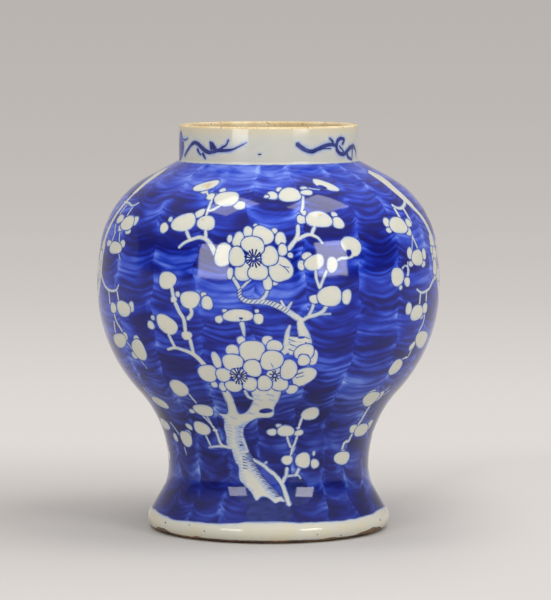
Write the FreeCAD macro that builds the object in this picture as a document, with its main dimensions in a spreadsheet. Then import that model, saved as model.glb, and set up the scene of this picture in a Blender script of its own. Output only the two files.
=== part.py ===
"""Baluster vase of blue and white porcelain: thrown sections luted together with slip.

Millimetres, +Z up. The origin is the middle of the foot ring, on the plane the vase stands on.
The sections meet in level joints at the waist, at the girth and at the root of the neck, with a
layer of slip in each, and a disc luted inside the foot closes the bottom.
"""

import FreeCAD, Part
import math
import os

import Sketcher

# Driving sizes: lengths in millimetres, angles in degrees, and shares
SIZES = {
    # Neck: a plain upright collar with a bare rounded lip
    "neck_radius": 55.2,
    "neck_wall": 4.6,
    "neck_height": 22.1,
    "lip_rounding_share": 0.33,
    # Shoulder: a cone that runs up to the neck, then a tight arc, then a slack one down to the girth
    "cone_length": 21.7,
    "cone_slope": 28.0,
    "shoulder_arc": 56.6,
    "upper_belly_arc": 155.5,
    "upper_belly_turn": 9.9,
    # Belly: an S of two arcs from the girth down to the waist
    "belly_spread": 43.9,
    "belly_height": 112.1,
    "waist_arc_share": 0.42,
    # Foot: flares from the waist to a rolled edge, and stands on a flat ring round a recess
    "foot_spread": 13.2,
    "foot_height": 38.6,
    "foot_roll": 6.4,
    "flare_arc_share": 0.76,
    "ring_width": 6.0,
    "ring_chamfer": 0.8,
    "recess_depth": 12.0,
    # Walls of the body and the disc that closes it
    "body_wall": 5.5,
    "base_thickness": 6.0,
    # Slip in the joints, with the bead that is squeezed out inside and the fillets in the corners
    "slip_thickness": 0.8,
    "slip_bead_width": 5.0,
    "slip_bead_height": 1.0,
    "neck_fillet_reach": 0.5,
    "base_slip_thickness": 0.6,
    "base_fillet_reach": 1.0,
}

# Radii and heights that follow from the sizes. A height is measured from the joint it is named for,
# or from the standing plane.
PLACES = {
    "half_slip": "sizes.slip_thickness / 2",
    "half_bead": "sizes.slip_bead_width / 2",
    "bore_radius": "sizes.neck_radius - sizes.neck_wall",
    "lip_rounding": "sizes.neck_wall * sizes.lip_rounding_share",
    # The shoulder's outline, outwards from the neck; the arcs' normals stand at these angles
    "cone_radius": "sizes.neck_radius + sizes.cone_length * cos(sizes.cone_slope)",
    "shoulder_run": "sizes.shoulder_arc * (cos(sizes.upper_belly_turn) - sin(sizes.cone_slope))",
    "shoulder_radius": "places.cone_radius + places.shoulder_run",
    "upper_belly_run": "sizes.upper_belly_arc * (1 - cos(sizes.upper_belly_turn))",
    "girth_radius": "places.shoulder_radius + places.upper_belly_run",
    "upper_belly_rise": "sizes.upper_belly_arc * sin(sizes.upper_belly_turn)",
    "shoulder_rise": "sizes.shoulder_arc * (cos(sizes.cone_slope) - sin(sizes.upper_belly_turn))",
    "cone_level": "places.upper_belly_rise + places.shoulder_rise",
    "shoulder_height": "places.cone_level + sizes.cone_length * sin(sizes.cone_slope)",
    # The same outline one wall further in
    "turn_step_in": "sizes.body_wall * cos(sizes.upper_belly_turn)",
    "turn_step_down": "sizes.body_wall * sin(sizes.upper_belly_turn)",
    "cone_step_in": "sizes.body_wall * sin(sizes.cone_slope)",
    "cone_step_down": "sizes.body_wall * cos(sizes.cone_slope)",
    "bore_rise": "sizes.neck_wall * tan(sizes.cone_slope)",
    "bore_level": "places.shoulder_height + places.bore_rise - sizes.body_wall / cos(sizes.cone_slope)",
    # Where the cone meets the flat top of the shoulder, and how far the slip's fillet reaches
    "root_radius": "sizes.neck_radius + places.half_slip / tan(sizes.cone_slope)",
    "fillet_leg": "places.half_slip / sin(sizes.cone_slope) + sizes.neck_fillet_reach",
    "fillet_out": "places.fillet_leg * cos(sizes.cone_slope)",
    "fillet_down": "places.fillet_leg * sin(sizes.cone_slope)",
    "fillet_arc": "places.fillet_leg * tan((90 + sizes.cone_slope) / 2)",
    # The belly's two arcs, both upright where they end, and the point between them
    "waist_radius": "places.girth_radius - sizes.belly_spread",
    "belly_arcs": "(sizes.belly_spread^2 + sizes.belly_height^2) / (2 * sizes.belly_spread)",
    "waist_arc": "places.belly_arcs * sizes.waist_arc_share",
    "belly_arc": "places.belly_arcs - places.waist_arc",
    "bend_radius": "places.waist_radius + sizes.belly_spread * sizes.waist_arc_share",
    "bend_level": "sizes.belly_height * sizes.waist_arc_share",
    "wall_share": "sizes.body_wall / places.belly_arcs",
    "bend_step_in": "(places.belly_arcs - sizes.belly_spread) * places.wall_share",
    "bend_step_up": "sizes.belly_height * places.wall_share",
    # The foot's outline: the flare's arc, a straight run that touches it, and the rolled edge
    "foot_radius": "places.waist_radius + sizes.foot_spread",
    "ring_radius": "places.foot_radius - sizes.foot_roll",
    "recess_radius": "places.ring_radius - sizes.ring_width",
    "flare_run": "sizes.foot_spread - sizes.foot_roll",
    "flare_drop": "sizes.foot_height - sizes.foot_roll",
    "flare_square": "places.flare_run^2 + places.flare_drop^2 - sizes.foot_roll^2",
    "flare_arc": "sizes.flare_arc_share * places.flare_square / (2 * sizes.foot_spread)",
    "centres_run": "places.flare_arc - places.flare_run",
    "centres_apart": "sqrt(places.centres_run^2 + places.flare_drop^2)",
    "lean_sine": "(places.flare_arc + sizes.foot_roll) / places.centres_apart",
    "lean_cosine": "sqrt(1 - places.lean_sine^2)",
    "out_run": "places.flare_drop * places.lean_cosine + places.centres_run * places.lean_sine",
    "out_rise": "places.flare_drop * places.lean_sine - places.centres_run * places.lean_cosine",
    "touch_run": "places.out_run / places.centres_apart",
    "touch_rise": "places.out_rise / places.centres_apart",
    "roll_radius": "places.ring_radius + sizes.foot_roll * places.touch_run",
    "roll_level": "sizes.foot_roll * (1 + places.touch_rise)",
    "flare_radius": "places.waist_radius + places.flare_arc * (1 - places.touch_run)",
    "flare_level": "sizes.foot_height - places.flare_arc * places.touch_rise",
    # Inside the foot: an upright seat for the disc, then an arc that is upright at the waist
    "base_fillet": "sizes.base_slip_thickness + sizes.base_fillet_reach",
    "seat_level": "sizes.recess_depth + sizes.base_thickness + places.base_fillet",
    "seat_run": "places.recess_radius - places.waist_radius + sizes.body_wall",
    "seat_drop": "sizes.foot_height - places.seat_level",
    "seat_arc": "(places.seat_run^2 + places.seat_drop^2) / (2 * places.seat_run)",
    # Where the slip's faces and the ends of its bead meet the arcs on either side of a joint
    "waist_face_above": "places.waist_arc - sqrt(places.waist_arc^2 - places.half_slip^2)",
    "waist_face_below": "places.flare_arc - sqrt(places.flare_arc^2 - places.half_slip^2)",
    "girth_face_above": "sizes.upper_belly_arc - sqrt(sizes.upper_belly_arc^2 - places.half_slip^2)",
    "girth_face_below": "places.belly_arc - sqrt(places.belly_arc^2 - places.half_slip^2)",
    "waist_arc_in": "places.waist_arc + sizes.body_wall",
    "belly_arc_in": "places.belly_arc - sizes.body_wall",
    "upper_belly_arc_in": "sizes.upper_belly_arc - sizes.body_wall",
    "shoulder_arc_in": "sizes.shoulder_arc - sizes.body_wall",
    "waist_in": "places.waist_radius - sizes.body_wall",
    "girth_in": "places.girth_radius - sizes.body_wall",
    "waist_in_above": "places.waist_arc_in - sqrt(places.waist_arc_in^2 - places.half_slip^2)",
    "waist_in_below": "places.seat_arc - sqrt(places.seat_arc^2 - places.half_slip^2)",
    "girth_in_above": "places.upper_belly_arc_in - sqrt(places.upper_belly_arc_in^2 - places.half_slip^2)",
    "girth_in_below": "places.belly_arc_in - sqrt(places.belly_arc_in^2 - places.half_slip^2)",
    "waist_bead_above": "places.waist_arc_in - sqrt(places.waist_arc_in^2 - places.half_bead^2)",
    "waist_bead_below": "places.seat_arc - sqrt(places.seat_arc^2 - places.half_bead^2)",
    "girth_bead_above": "places.upper_belly_arc_in - sqrt(places.upper_belly_arc_in^2 - places.half_bead^2)",
    "girth_bead_below": "places.belly_arc_in - sqrt(places.belly_arc_in^2 - places.half_bead^2)",
    "bead_round": "(places.half_bead^2 + sizes.slip_bead_height^2) / (2 * sizes.slip_bead_height)",
    # Levels of the joints above the standing plane
    "girth_level": "sizes.foot_height + sizes.belly_height",
    "neck_level": "places.girth_level + places.shoulder_height",
    "lip_level": "places.neck_level + sizes.neck_height",
}

LEFT = 1
RIGHT = -1
CLOSE_ENOUGH = 1e-6


def make_sheet(doc):
    """The driving sizes, one to a row."""
    sheet = doc.addObject("Spreadsheet::Sheet", "sizes")
    for row, (name, value) in enumerate(SIZES.items(), start=1):
        sheet.set(f"A{row}", name)
        sheet.set(f"B{row}", str(value))
        sheet.setAlias(f"B{row}", name)
    doc.recompute()
    return sheet


def make_places(doc):
    """The radii and heights worked out from the sheet."""
    places = doc.addObject("App::VarSet", "places")
    for name in PLACES:
        places.addProperty("App::PropertyFloat", name, "Places")
    for name, formula in PLACES.items():
        places.setExpression(name, formula)
    doc.recompute()
    return places


def value_of(doc, formula):
    """What a formula comes to with the sizes as they are."""
    found = doc.getObject("places").evalExpression(formula)
    return float(getattr(found, "Value", found))


def arc_between(start, end, radius, side):
    """The arc of under half a circle from start to end whose middle lies to the left or right."""
    along = end - start
    half = along.Length / 2
    across = FreeCAD.Vector(-along.y, along.x, 0).normalize()
    centre = start + along / 2 + across * side * math.sqrt(radius**2 - half**2)
    first = math.atan2(start.y - centre.y, start.x - centre.x)
    last = math.atan2(end.y - centre.y, end.x - centre.x)
    circle = Part.Circle(centre, FreeCAD.Vector(0, 0, 1), radius)
    if side == LEFT:
        return Part.ArcOfCircle(circle, first, last), (1, 2)
    return Part.ArcOfCircle(circle, last, first), (2, 1)


def tie_corner(sketch, edge, end, formulas, spot):
    """Holds a corner at its radius and height; a formula of None leaves it on the axis or level."""
    kinds = ("DistanceX", "DistanceY")
    axes = (-2, -1)
    for kind, axis, formula, distance in zip(kinds, axes, formulas, (spot.x, spot.y)):
        if formula is None:
            sketch.addConstraint(Sketcher.Constraint("PointOnObject", edge, end, axis))
            continue
        held = Sketcher.Constraint(kind, -1, 1, edge, end, distance)
        index = sketch.addConstraint(held)
        sketch.setExpression(f"Constraints[{index}]", formula)


def half_section(doc, body, corners):
    """Sketches the closed outline that is spun into a piece.

    Each corner is (radius, height) or (radius, height, arc, side): with an arc, the edge from it to
    the next corner is that arc, whose middle lies to the left or right of the way along the edge.
    """
    sketch = body.newObject("Sketcher::SketchObject", f"{body.Name}_section")
    upright = [plane for plane in body.Origin.OriginFeatures if plane.Role == "XZ_Plane"][0]
    sketch.AttachmentSupport = [(upright, "")]
    sketch.MapMode = "FlatFace"
    spots = [FreeCAD.Vector(*(0 if f is None else value_of(doc, f) for f in c[:2])) for c in corners]
    ends = []
    for number, corner in enumerate(corners):
        start = spots[number]
        finish = spots[(number + 1) % len(spots)]
        if len(corner) == 2:
            edge = sketch.addGeometry(Part.LineSegment(start, finish), False)
            ends.append((edge, 1, 2))
            continue
        arc, (first, last) = arc_between(start, finish, value_of(doc, corner[2]), corner[3])
        edge = sketch.addGeometry(arc, False)
        ends.append((edge, first, last))
        index = sketch.addConstraint(Sketcher.Constraint("Radius", edge, arc.Radius))
        sketch.setExpression(f"Constraints[{index}]", corner[2])
    for number, (edge, first, _) in enumerate(ends):
        before, _, last = ends[number - 1]
        sketch.addConstraint(Sketcher.Constraint("Coincident", before, last, edge, first))
        tie_corner(sketch, edge, first, corners[number][:2], spots[number])
    return sketch


def spun_piece(doc, name, corners, level=None):
    """A body turned on the wheel: its half section, spun round the vase's axis and set at its level."""
    body = doc.addObject("PartDesign::Body", name)
    body.Label = name
    sketch = half_section(doc, body, corners)
    spin = body.newObject("PartDesign::Revolution", f"{name}_spin")
    spin.Profile = sketch
    spin.ReferenceAxis = (sketch, ["V_Axis"])
    spin.Angle = 360
    if level is not None:
        body.setExpression(".Placement.Base.z", level)
    doc.recompute()
    return body


def circles_at(shape, radius, height):
    """Names of the round edges that lie at this radius and height."""
    names = []
    for number, edge in enumerate(shape.Edges, start=1):
        box = edge.BoundBox
        level = abs(box.ZMin - height) < CLOSE_ENOUGH and abs(box.ZMax - height) < CLOSE_ENOUGH
        if level and abs(edge.Curve.Radius - radius) < CLOSE_ENOUGH:
            names.append(f"Edge{number}")
    return names


def neck_collar(doc):
    """The upright neck, round at the lip, which is left bare of glaze."""
    body = spun_piece(
        doc,
        "neck_collar",
        [
            ("places.bore_radius", "places.half_slip"),
            ("sizes.neck_radius", "places.half_slip"),
            ("sizes.neck_radius", "sizes.neck_height"),
            ("places.bore_radius", "sizes.neck_height"),
        ],
        level="places.neck_level",
    )
    spin = body.Tip
    top = value_of(doc, "sizes.neck_height")
    inner = circles_at(spin.Shape, value_of(doc, "places.bore_radius"), top)
    outer = circles_at(spin.Shape, value_of(doc, "sizes.neck_radius"), top)
    lip = body.newObject("PartDesign::Fillet", "lip_rounding")
    lip.Base = (spin, inner + outer)
    lip.setExpression("Radius", "places.lip_rounding")
    doc.recompute()
    return body


def neck_luting_slip(doc):
    """Slip under the neck, drawn into a fillet in the corner outside."""
    return spun_piece(
        doc,
        "neck_luting_slip",
        [
            ("places.bore_radius", "-places.half_slip"),
            ("places.root_radius", "-places.half_slip"),
            (
                "sizes.neck_radius + places.fillet_out",
                "-places.fillet_down",
                "places.fillet_arc",
                RIGHT,
            ),
            ("sizes.neck_radius", "places.fillet_leg"),
            ("sizes.neck_radius", "places.half_slip"),
            ("places.bore_radius", "places.half_slip"),
        ],
        level="places.neck_level",
    )


def shoulder_section(doc):
    """From the girth up to the root of the neck, open at the top to the width of the bore."""
    flat_top = "places.shoulder_height - places.half_slip"
    return spun_piece(
        doc,
        "shoulder_section",
        [
            (
                "places.girth_radius - places.girth_face_above",
                "places.half_slip",
                "sizes.upper_belly_arc",
                LEFT,
            ),
            ("places.shoulder_radius", "places.upper_belly_rise", "sizes.shoulder_arc", LEFT),
            ("places.cone_radius", "places.cone_level"),
            ("places.root_radius", flat_top),
            ("places.bore_radius", flat_top),
            ("places.bore_radius", "places.bore_level"),
            (
                "places.cone_radius - places.cone_step_in",
                "places.cone_level - places.cone_step_down",
                "places.shoulder_arc_in",
                RIGHT,
            ),
            (
                "places.shoulder_radius - places.turn_step_in",
                "places.upper_belly_rise - places.turn_step_down",
                "places.upper_belly_arc_in",
                RIGHT,
            ),
            ("places.girth_in - places.girth_in_above", "places.half_slip"),
        ],
        level="places.girth_level",
    )


def luting_ring(doc, name, outer, inner, level):
    """Slip in a level joint of the body, with a rounded bead inside.

    outer is the radius of the slip's outer edge below and above the joint. inner holds, below and
    above, the radius of the wall at the slip's face and at the bead's end, and the wall's own arc
    with the side its middle is on.
    """
    (face_below, bead_below, arc_below, side_below), (face_above, bead_above, arc_above, side_above) = inner
    return spun_piece(
        doc,
        name,
        [
            (outer[0], "-places.half_slip"),
            (outer[1], "places.half_slip"),
            (face_above, "places.half_slip", arc_above, side_above),
            (bead_above, "places.half_bead", "places.bead_round", LEFT),
            (bead_below, "-places.half_bead", arc_below, side_below),
            (face_below, "-places.half_slip"),
        ],
        level=level,
    )


def girth_luting_slip(doc):
    """Slip where the belly and the shoulder meet, at the vase's widest."""
    return luting_ring(
        doc,
        "girth_luting_slip",
        (
            "places.girth_radius - places.girth_face_below",
            "places.girth_radius - places.girth_face_above",
        ),
        (
            (
                "places.girth_in - places.girth_in_below",
                "places.girth_in - places.girth_bead_below",
                "places.belly_arc_in",
                LEFT,
            ),
            (
                "places.girth_in - places.girth_in_above",
                "places.girth_in - places.girth_bead_above",
                "places.upper_belly_arc_in",
                LEFT,
            ),
        ),
        "places.girth_level",
    )


def belly_section(doc):
    """From the waist up to the girth: hollow round the waist, then full round the belly."""
    top = "sizes.belly_height - places.half_slip"
    return spun_piece(
        doc,
        "belly_section",
        [
            (
                "places.waist_radius + places.waist_face_above",
                "places.half_slip",
                "places.waist_arc",
                RIGHT,
            ),
            ("places.bend_radius", "places.bend_level", "places.belly_arc", LEFT),
            ("places.girth_radius - places.girth_face_below", top),
            ("places.girth_in - places.girth_in_below", top, "places.belly_arc_in", RIGHT),
            (
                "places.bend_radius - places.bend_step_in",
                "places.bend_level + places.bend_step_up",
                "places.waist_arc_in",
                LEFT,
            ),
            ("places.waist_in + places.waist_in_above", "places.half_slip"),
        ],
        level="sizes.foot_height",
    )


def waist_luting_slip(doc):
    """Slip where the foot and the belly meet, at the waist."""
    return luting_ring(
        doc,
        "waist_luting_slip",
        (
            "places.waist_radius + places.waist_face_below",
            "places.waist_radius + places.waist_face_above",
        ),
        (
            (
                "places.waist_in + places.waist_in_below",
                "places.waist_in + places.waist_bead_below",
                "places.seat_arc",
                RIGHT,
            ),
            (
                "places.waist_in + places.waist_in_above",
                "places.waist_in + places.waist_bead_above",
                "places.waist_arc_in",
                RIGHT,
            ),
        ),
        "sizes.foot_height",
    )


def foot_section(doc):
    """The flared foot with its rolled edge, its flat standing ring and the recess inside it."""
    top = "sizes.foot_height - places.half_slip"
    body = spun_piece(
        doc,
        "foot_section",
        [
            ("places.recess_radius", None),
            ("places.ring_radius", None, "sizes.foot_roll", LEFT),
            ("places.roll_radius", "places.roll_level"),
            ("places.flare_radius", "places.flare_level", "places.flare_arc", RIGHT),
            ("places.waist_radius + places.waist_face_below", top),
            ("places.waist_in + places.waist_in_below", top, "places.seat_arc", LEFT),
            ("places.recess_radius", "places.seat_level"),
        ],
    )
    spin = body.Tip
    edge = body.newObject("PartDesign::Chamfer", "ring_chamfer")
    edge.Base = (spin, circles_at(spin.Shape, value_of(doc, "places.recess_radius"), 0))
    edge.setExpression("Size", "sizes.ring_chamfer")
    doc.recompute()
    return body


def base_luting_slip(doc):
    """Slip round the rim of the disc, with a fillet in the corner above and below."""
    inner = "places.recess_radius - sizes.base_slip_thickness"
    corner = "places.recess_radius - places.base_fillet"
    return spun_piece(
        doc,
        "base_luting_slip",
        [
            (inner, None),
            (corner, None, "places.base_fillet", RIGHT),
            ("places.recess_radius", "-places.base_fillet"),
            (
                "places.recess_radius",
                "sizes.base_thickness + places.base_fillet",
                "places.base_fillet",
                RIGHT,
            ),
            (corner, "sizes.base_thickness"),
            (inner, "sizes.base_thickness"),
        ],
        level="sizes.recess_depth",
    )


def base_disc(doc):
    """The disc that closes the bottom."""
    edge = "places.recess_radius - sizes.base_slip_thickness"
    return spun_piece(
        doc,
        "base_disc",
        [
            (None, None),
            (edge, None),
            (edge, "sizes.base_thickness"),
            (None, "sizes.base_thickness"),
        ],
        level="sizes.recess_depth",
    )


MAKERS = (
    neck_collar,
    neck_luting_slip,
    shoulder_section,
    girth_luting_slip,
    belly_section,
    waist_luting_slip,
    foot_section,
    base_luting_slip,
    base_disc,
)


def check(doc, pieces):
    """Stops if any object failed or any piece isn't one valid solid."""
    for thing in doc.Objects:
        if "Invalid" in thing.State or "Error" in thing.State:
            raise RuntimeError(f"{thing.Name} failed: {thing.State}")
    for piece in pieces:
        shape = piece.Shape
        if shape.isNull() or not shape.isValid() or len(shape.Solids) != 1:
            raise RuntimeError(f"{piece.Label} is not one valid solid")


def main():
    doc = FreeCAD.newDocument("baluster_vase")
    make_sheet(doc)
    make_places(doc)
    pieces = [make(doc) for make in MAKERS]
    doc.recompute()
    check(doc, pieces)
    os.makedirs("parts", exist_ok=True)
    for piece in pieces:
        piece.Shape.exportStep(f"parts/{piece.Label}.step")
        box = piece.Shape.BoundBox
        print(f"{piece.Label}: {piece.Shape.Volume:.0f} mm3, z {box.ZMin:.2f} to {box.ZMax:.2f}")
    for name in ("bore_radius", "girth_radius", "waist_radius", "foot_radius", "recess_radius", "lip_level"):
        print(f"{name}: {value_of(doc, 'places.' + name):.2f}")


main()
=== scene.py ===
"""Baluster vase of blue and white porcelain: its glaze, its painted prunus trees and its bare edges.

The fired clay is the frame's. The glaze lies on it as thin closed coats: four painted ones outside,
one for each part of the body, and plain ones inside the vase and under its foot. The painting is cut
into the outer coats, so that every petal and brush line is a patch of the coat with its own finish.

Lengths of the vase and its painting are in millimetres, and turned into metres when a mesh is made.
An angle goes round the vase in degrees, with 0 at the front and 90 at its right hand side.
"""

import math
import random

import bpy
import numpy as np
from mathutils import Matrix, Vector
from mathutils.geometry import delaunay_2d_cdt


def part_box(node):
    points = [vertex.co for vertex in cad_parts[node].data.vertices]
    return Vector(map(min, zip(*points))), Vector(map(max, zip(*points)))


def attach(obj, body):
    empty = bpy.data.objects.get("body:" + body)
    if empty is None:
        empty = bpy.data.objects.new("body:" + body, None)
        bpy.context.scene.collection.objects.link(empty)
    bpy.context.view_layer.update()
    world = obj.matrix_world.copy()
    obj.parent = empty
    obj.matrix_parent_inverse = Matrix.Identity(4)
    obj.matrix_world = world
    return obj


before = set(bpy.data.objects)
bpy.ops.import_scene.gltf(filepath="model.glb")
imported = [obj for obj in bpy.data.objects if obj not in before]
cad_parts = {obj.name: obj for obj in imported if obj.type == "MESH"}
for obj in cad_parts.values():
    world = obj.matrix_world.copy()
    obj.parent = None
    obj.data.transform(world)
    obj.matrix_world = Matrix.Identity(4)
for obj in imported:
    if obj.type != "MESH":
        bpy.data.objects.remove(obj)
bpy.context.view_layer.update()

MM = 0.001
UPRIGHT = 90.0
TINY = 1e-9

# Levels and radii of the clay, read from the frame; the slip in a joint lies half above its level
SLIP = 0.8
NECK_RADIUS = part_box("neck_collar")[1].x / MM
LIP_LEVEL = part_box("neck_collar")[1].z / MM
GIRTH_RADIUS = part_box("girth_luting_slip")[1].x / MM
GIRTH_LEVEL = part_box("belly_section")[1].z / MM + SLIP / 2
WAIST_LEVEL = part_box("foot_section")[1].z / MM + SLIP / 2
FOOT_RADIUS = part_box("foot_section")[1].x / MM
BASE_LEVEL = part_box("base_disc")[0].z / MM
FLOOR_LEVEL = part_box("base_disc")[1].z / MM

# The arcs and straight runs between them, and how thick and wide the clay is
FOOT_ROLL = 6.4
FLARE_ARC_SHARE = 0.76
FOOT_SPREAD = 13.2
WAIST_RADIUS = FOOT_RADIUS - FOOT_SPREAD
BELLY_SPREAD = GIRTH_RADIUS - WAIST_RADIUS
BELLY_HEIGHT = GIRTH_LEVEL - WAIST_LEVEL
WAIST_ARC_SHARE = 0.42
UPPER_BELLY_ARC = 155.5
UPPER_BELLY_TURN = 9.9
SHOULDER_ARC = 56.6
CONE_SLOPE = 28.0
CONE_LENGTH = 21.7
NECK_HEIGHT = 22.1
NECK_FILLET = 2.25
NECK_WALL = 4.6
LIP_ROUNDING = 1.52
BODY_WALL = 5.5
RING_WIDTH = 6.0
BASE_FILLET = 1.6
RECESS_RADIUS = FOOT_RADIUS - FOOT_ROLL - RING_WIDTH

# How far a coat stands above the clay and reaches into it, and where the coats start and end
COAT_LIFT = 0.25
COAT_ROOT = -0.12
LIP_LIFT = 0.14
LIP_SKIN_START = 0.2
LIP_SKIN_DEPTH = 6.5
INNER_GLAZE_DEPTH = 5.8
GLAZE_START_TURN = 34.0
GLAZE_OVER_LIP = 0.55
RECESS_BARE = 2.4

# How finely an outline and a coat are divided
ROW_STEP = 2.4
TURN_STEP = 6.0
COLUMNS = 240
COARSE_COLUMNS = 120


# Outline of the vase

class Outline:
    """A line drawn by steps in the half plane of radius and height, with the open air on its right."""

    def __init__(self, radius, level, heading):
        self.stations = [(0.0, radius, level, heading)]

    def turn(self, radius, angle):
        """An arc; the angle is positive where it bends to the left."""
        far, r, z, heading = self.stations[-1]
        length = radius * math.radians(abs(angle))
        steps = max(1, math.ceil(abs(angle) / TURN_STEP), math.ceil(length / ROW_STEP))
        side = math.copysign(radius, angle)
        start = math.radians(heading)
        for step in range(1, steps + 1):
            now = math.radians(heading + angle * step / steps)
            self.stations.append((
                far + length * step / steps,
                r + side * (math.sin(now) - math.sin(start)),
                z - side * (math.cos(now) - math.cos(start)),
                math.degrees(now),
            ))
        return self

    def run(self, length):
        """A straight stretch."""
        far, r, z, heading = self.stations[-1]
        steps = max(1, math.ceil(length / ROW_STEP))
        across = math.cos(math.radians(heading))
        up = math.sin(math.radians(heading))
        for step in range(1, steps + 1):
            part = length * step / steps
            self.stations.append((far + part, r + across * part, z + up * part, heading))
        return self

    @property
    def length(self):
        return self.stations[-1][0]

    @property
    def level(self):
        return self.stations[-1][2]

    @property
    def radius(self):
        return self.stations[-1][1]

    def column(self, number):
        return np.array([station[number] for station in self.stations])


def foot_arcs():
    """The flare's radius, the turn in which it and the rolled edge meet, and the straight run between."""
    roll = FOOT_ROLL
    up = WAIST_LEVEL - roll
    square = (FOOT_SPREAD - roll) ** 2 + up ** 2 - roll ** 2
    flare = FLARE_ARC_SHARE * square / (2 * FOOT_SPREAD)
    across = flare - (FOOT_SPREAD - roll)
    apart = math.hypot(across, up)
    run = math.sqrt(apart ** 2 - (flare + roll) ** 2)
    lean = math.asin((flare + roll) / apart)
    return flare, math.degrees(lean - math.atan2(across, up)), run


def belly_arcs():
    """The radii of the waist's arc and of the belly's, and how far each of them turns."""
    both = (BELLY_SPREAD ** 2 + BELLY_HEIGHT ** 2) / (2 * BELLY_SPREAD)
    waist = both * WAIST_ARC_SHARE
    return waist, both - waist, math.degrees(math.asin(BELLY_HEIGHT / both))


def draw_outside():
    """From the standing ring up the outside to the lip and over it, with marks where its parts end."""
    flare, touch, run = foot_arcs()
    waist, belly, swing = belly_arcs()
    lean = UPRIGHT - CONE_SLOPE
    fillet_leg = NECK_FILLET * math.tan(math.radians(lean / 2))
    line = Outline(FOOT_RADIUS - FOOT_ROLL, 0.0, 0.0)
    marks = {"foot": FOOT_ROLL * math.radians(GLAZE_START_TURN)}
    line.turn(FOOT_ROLL, UPRIGHT + touch).run(run).turn(flare, -touch)
    marks["waist"] = line.length
    line.turn(waist, -swing).turn(belly, swing)
    marks["girth"] = line.length
    line.turn(UPPER_BELLY_ARC, UPPER_BELLY_TURN).turn(SHOULDER_ARC, lean - UPPER_BELLY_TURN)
    line.run(CONE_LENGTH - fillet_leg).turn(NECK_FILLET, -lean)
    marks["neck"] = line.length
    line.run(LIP_LEVEL - LIP_ROUNDING - line.level)
    marks["lip"] = line.length
    line.turn(LIP_ROUNDING, UPRIGHT).run(NECK_WALL - 2 * LIP_ROUNDING).turn(LIP_ROUNDING, UPRIGHT)
    marks["mouth"] = line.length
    return line, marks


def draw_inside():
    """From just below the mouth down the inside to the middle of the floor."""
    waist, belly, swing = belly_arcs()
    lean = UPRIGHT - CONE_SLOPE
    slope = math.radians(CONE_SLOPE)
    root_level = LIP_LEVEL - NECK_HEIGHT
    bore_level = root_level + NECK_WALL * math.tan(slope) - BODY_WALL / math.cos(slope)
    cone = (CONE_LENGTH * math.cos(slope) + NECK_WALL - BODY_WALL * math.sin(slope)) / math.cos(slope)
    seat_run = RECESS_RADIUS - WAIST_RADIUS + BODY_WALL
    seat_drop = WAIST_LEVEL - FLOOR_LEVEL - BASE_FILLET
    seat = (seat_run ** 2 + seat_drop ** 2) / (2 * seat_run)
    seat_turn = math.degrees(math.asin(seat_drop / seat))
    line = Outline(NECK_RADIUS - NECK_WALL, LIP_LEVEL - LIP_ROUNDING, -UPRIGHT)
    line.run(line.level - bore_level).turn(0.0, lean).run(cone)
    line.turn(SHOULDER_ARC - BODY_WALL, UPPER_BELLY_TURN - lean)
    line.turn(UPPER_BELLY_ARC - BODY_WALL, -UPPER_BELLY_TURN)
    line.turn(belly - BODY_WALL, -swing).turn(waist + BODY_WALL, swing)
    line.turn(seat, seat_turn).turn(0.0, -seat_turn).turn(BASE_FILLET, -UPRIGHT)
    return line.run(line.radius)


def draw_underside():
    """From the middle of the disc's underside to the wall of the recess and down it."""
    line = Outline(0.0, BASE_LEVEL, 0.0)
    line.run(RECESS_RADIUS - BASE_FILLET).turn(BASE_FILLET, -UPRIGHT)
    return line.run(line.level - RECESS_BARE)


OUTSIDE, MARKS = draw_outside()
FAR, RADII, LEVELS, HEADINGS = (OUTSIDE.column(number) for number in range(4))
RISING = FAR <= MARKS["lip"]


def far_at(level):
    """How far along the outline a level on the outside lies."""
    return np.interp(level, LEVELS[RISING], FAR[RISING])


def radius_at(level):
    return np.interp(level, LEVELS[RISING], RADII[RISING])


def on_outside(angles, fars, lift):
    """Places in metres and directions out of the surface, for angles and ways along the outline."""
    heading = np.radians(np.interp(fars, FAR, HEADINGS))
    out = np.sin(heading)
    up = -np.cos(heading)
    radius = (np.interp(fars, FAR, RADII) + out * lift) * MM
    level = (np.interp(fars, FAR, LEVELS) + up * lift) * MM
    turn = np.radians(angles)
    places = np.stack([radius * np.sin(turn), -radius * np.cos(turn), level], -1)
    ways = np.stack([out * np.sin(turn), -out * np.cos(turn), up], -1)
    return places, ways


# Brushwork: loops of (angle, way along the outline) that are cut into the painted coats

GROUND, LINE, RIM, WHITE, ROCK, SCROLL, HAZE, IRON, BARE, STAIN, WASH = range(11)
HAND = random.Random(11)

# How far lines and haze reach past a shape, and how wide the rims inside it are
LINE_REACH = 0.55
TWIG_LINE_REACH = 0.5
RIM_WIDTH = 0.42
TRUNK_RIM_WIDTH = 0.6
NOTCH_LINE = 0.4
ROCK_LINE = 0.4
ROCK_EDGE = 0.3
HAZE_REACH = 0.7

# The least that a brush leaves, and how far its round ends stand out, as a share of the width
LEAST_PETAL = 0.3
LEAST_STROKE = 0.2
LEAST_HALF_WIDTH = 0.12
ROUND_END = 0.8

# How much a petal's edge swells, two and three times round, and its line five times; how square it is
TWO_SWELLS = 0.05
THREE_SWELLS = 0.045
LINE_SWELLS = 0.25
SQUARENESS = 2.25

# The half width past which a petal counts as big, and the points that each kind has
BIG_PETAL = 3
BIG_PETAL_POINTS = 26
SMALL_PETAL_POINTS = 16


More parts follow.
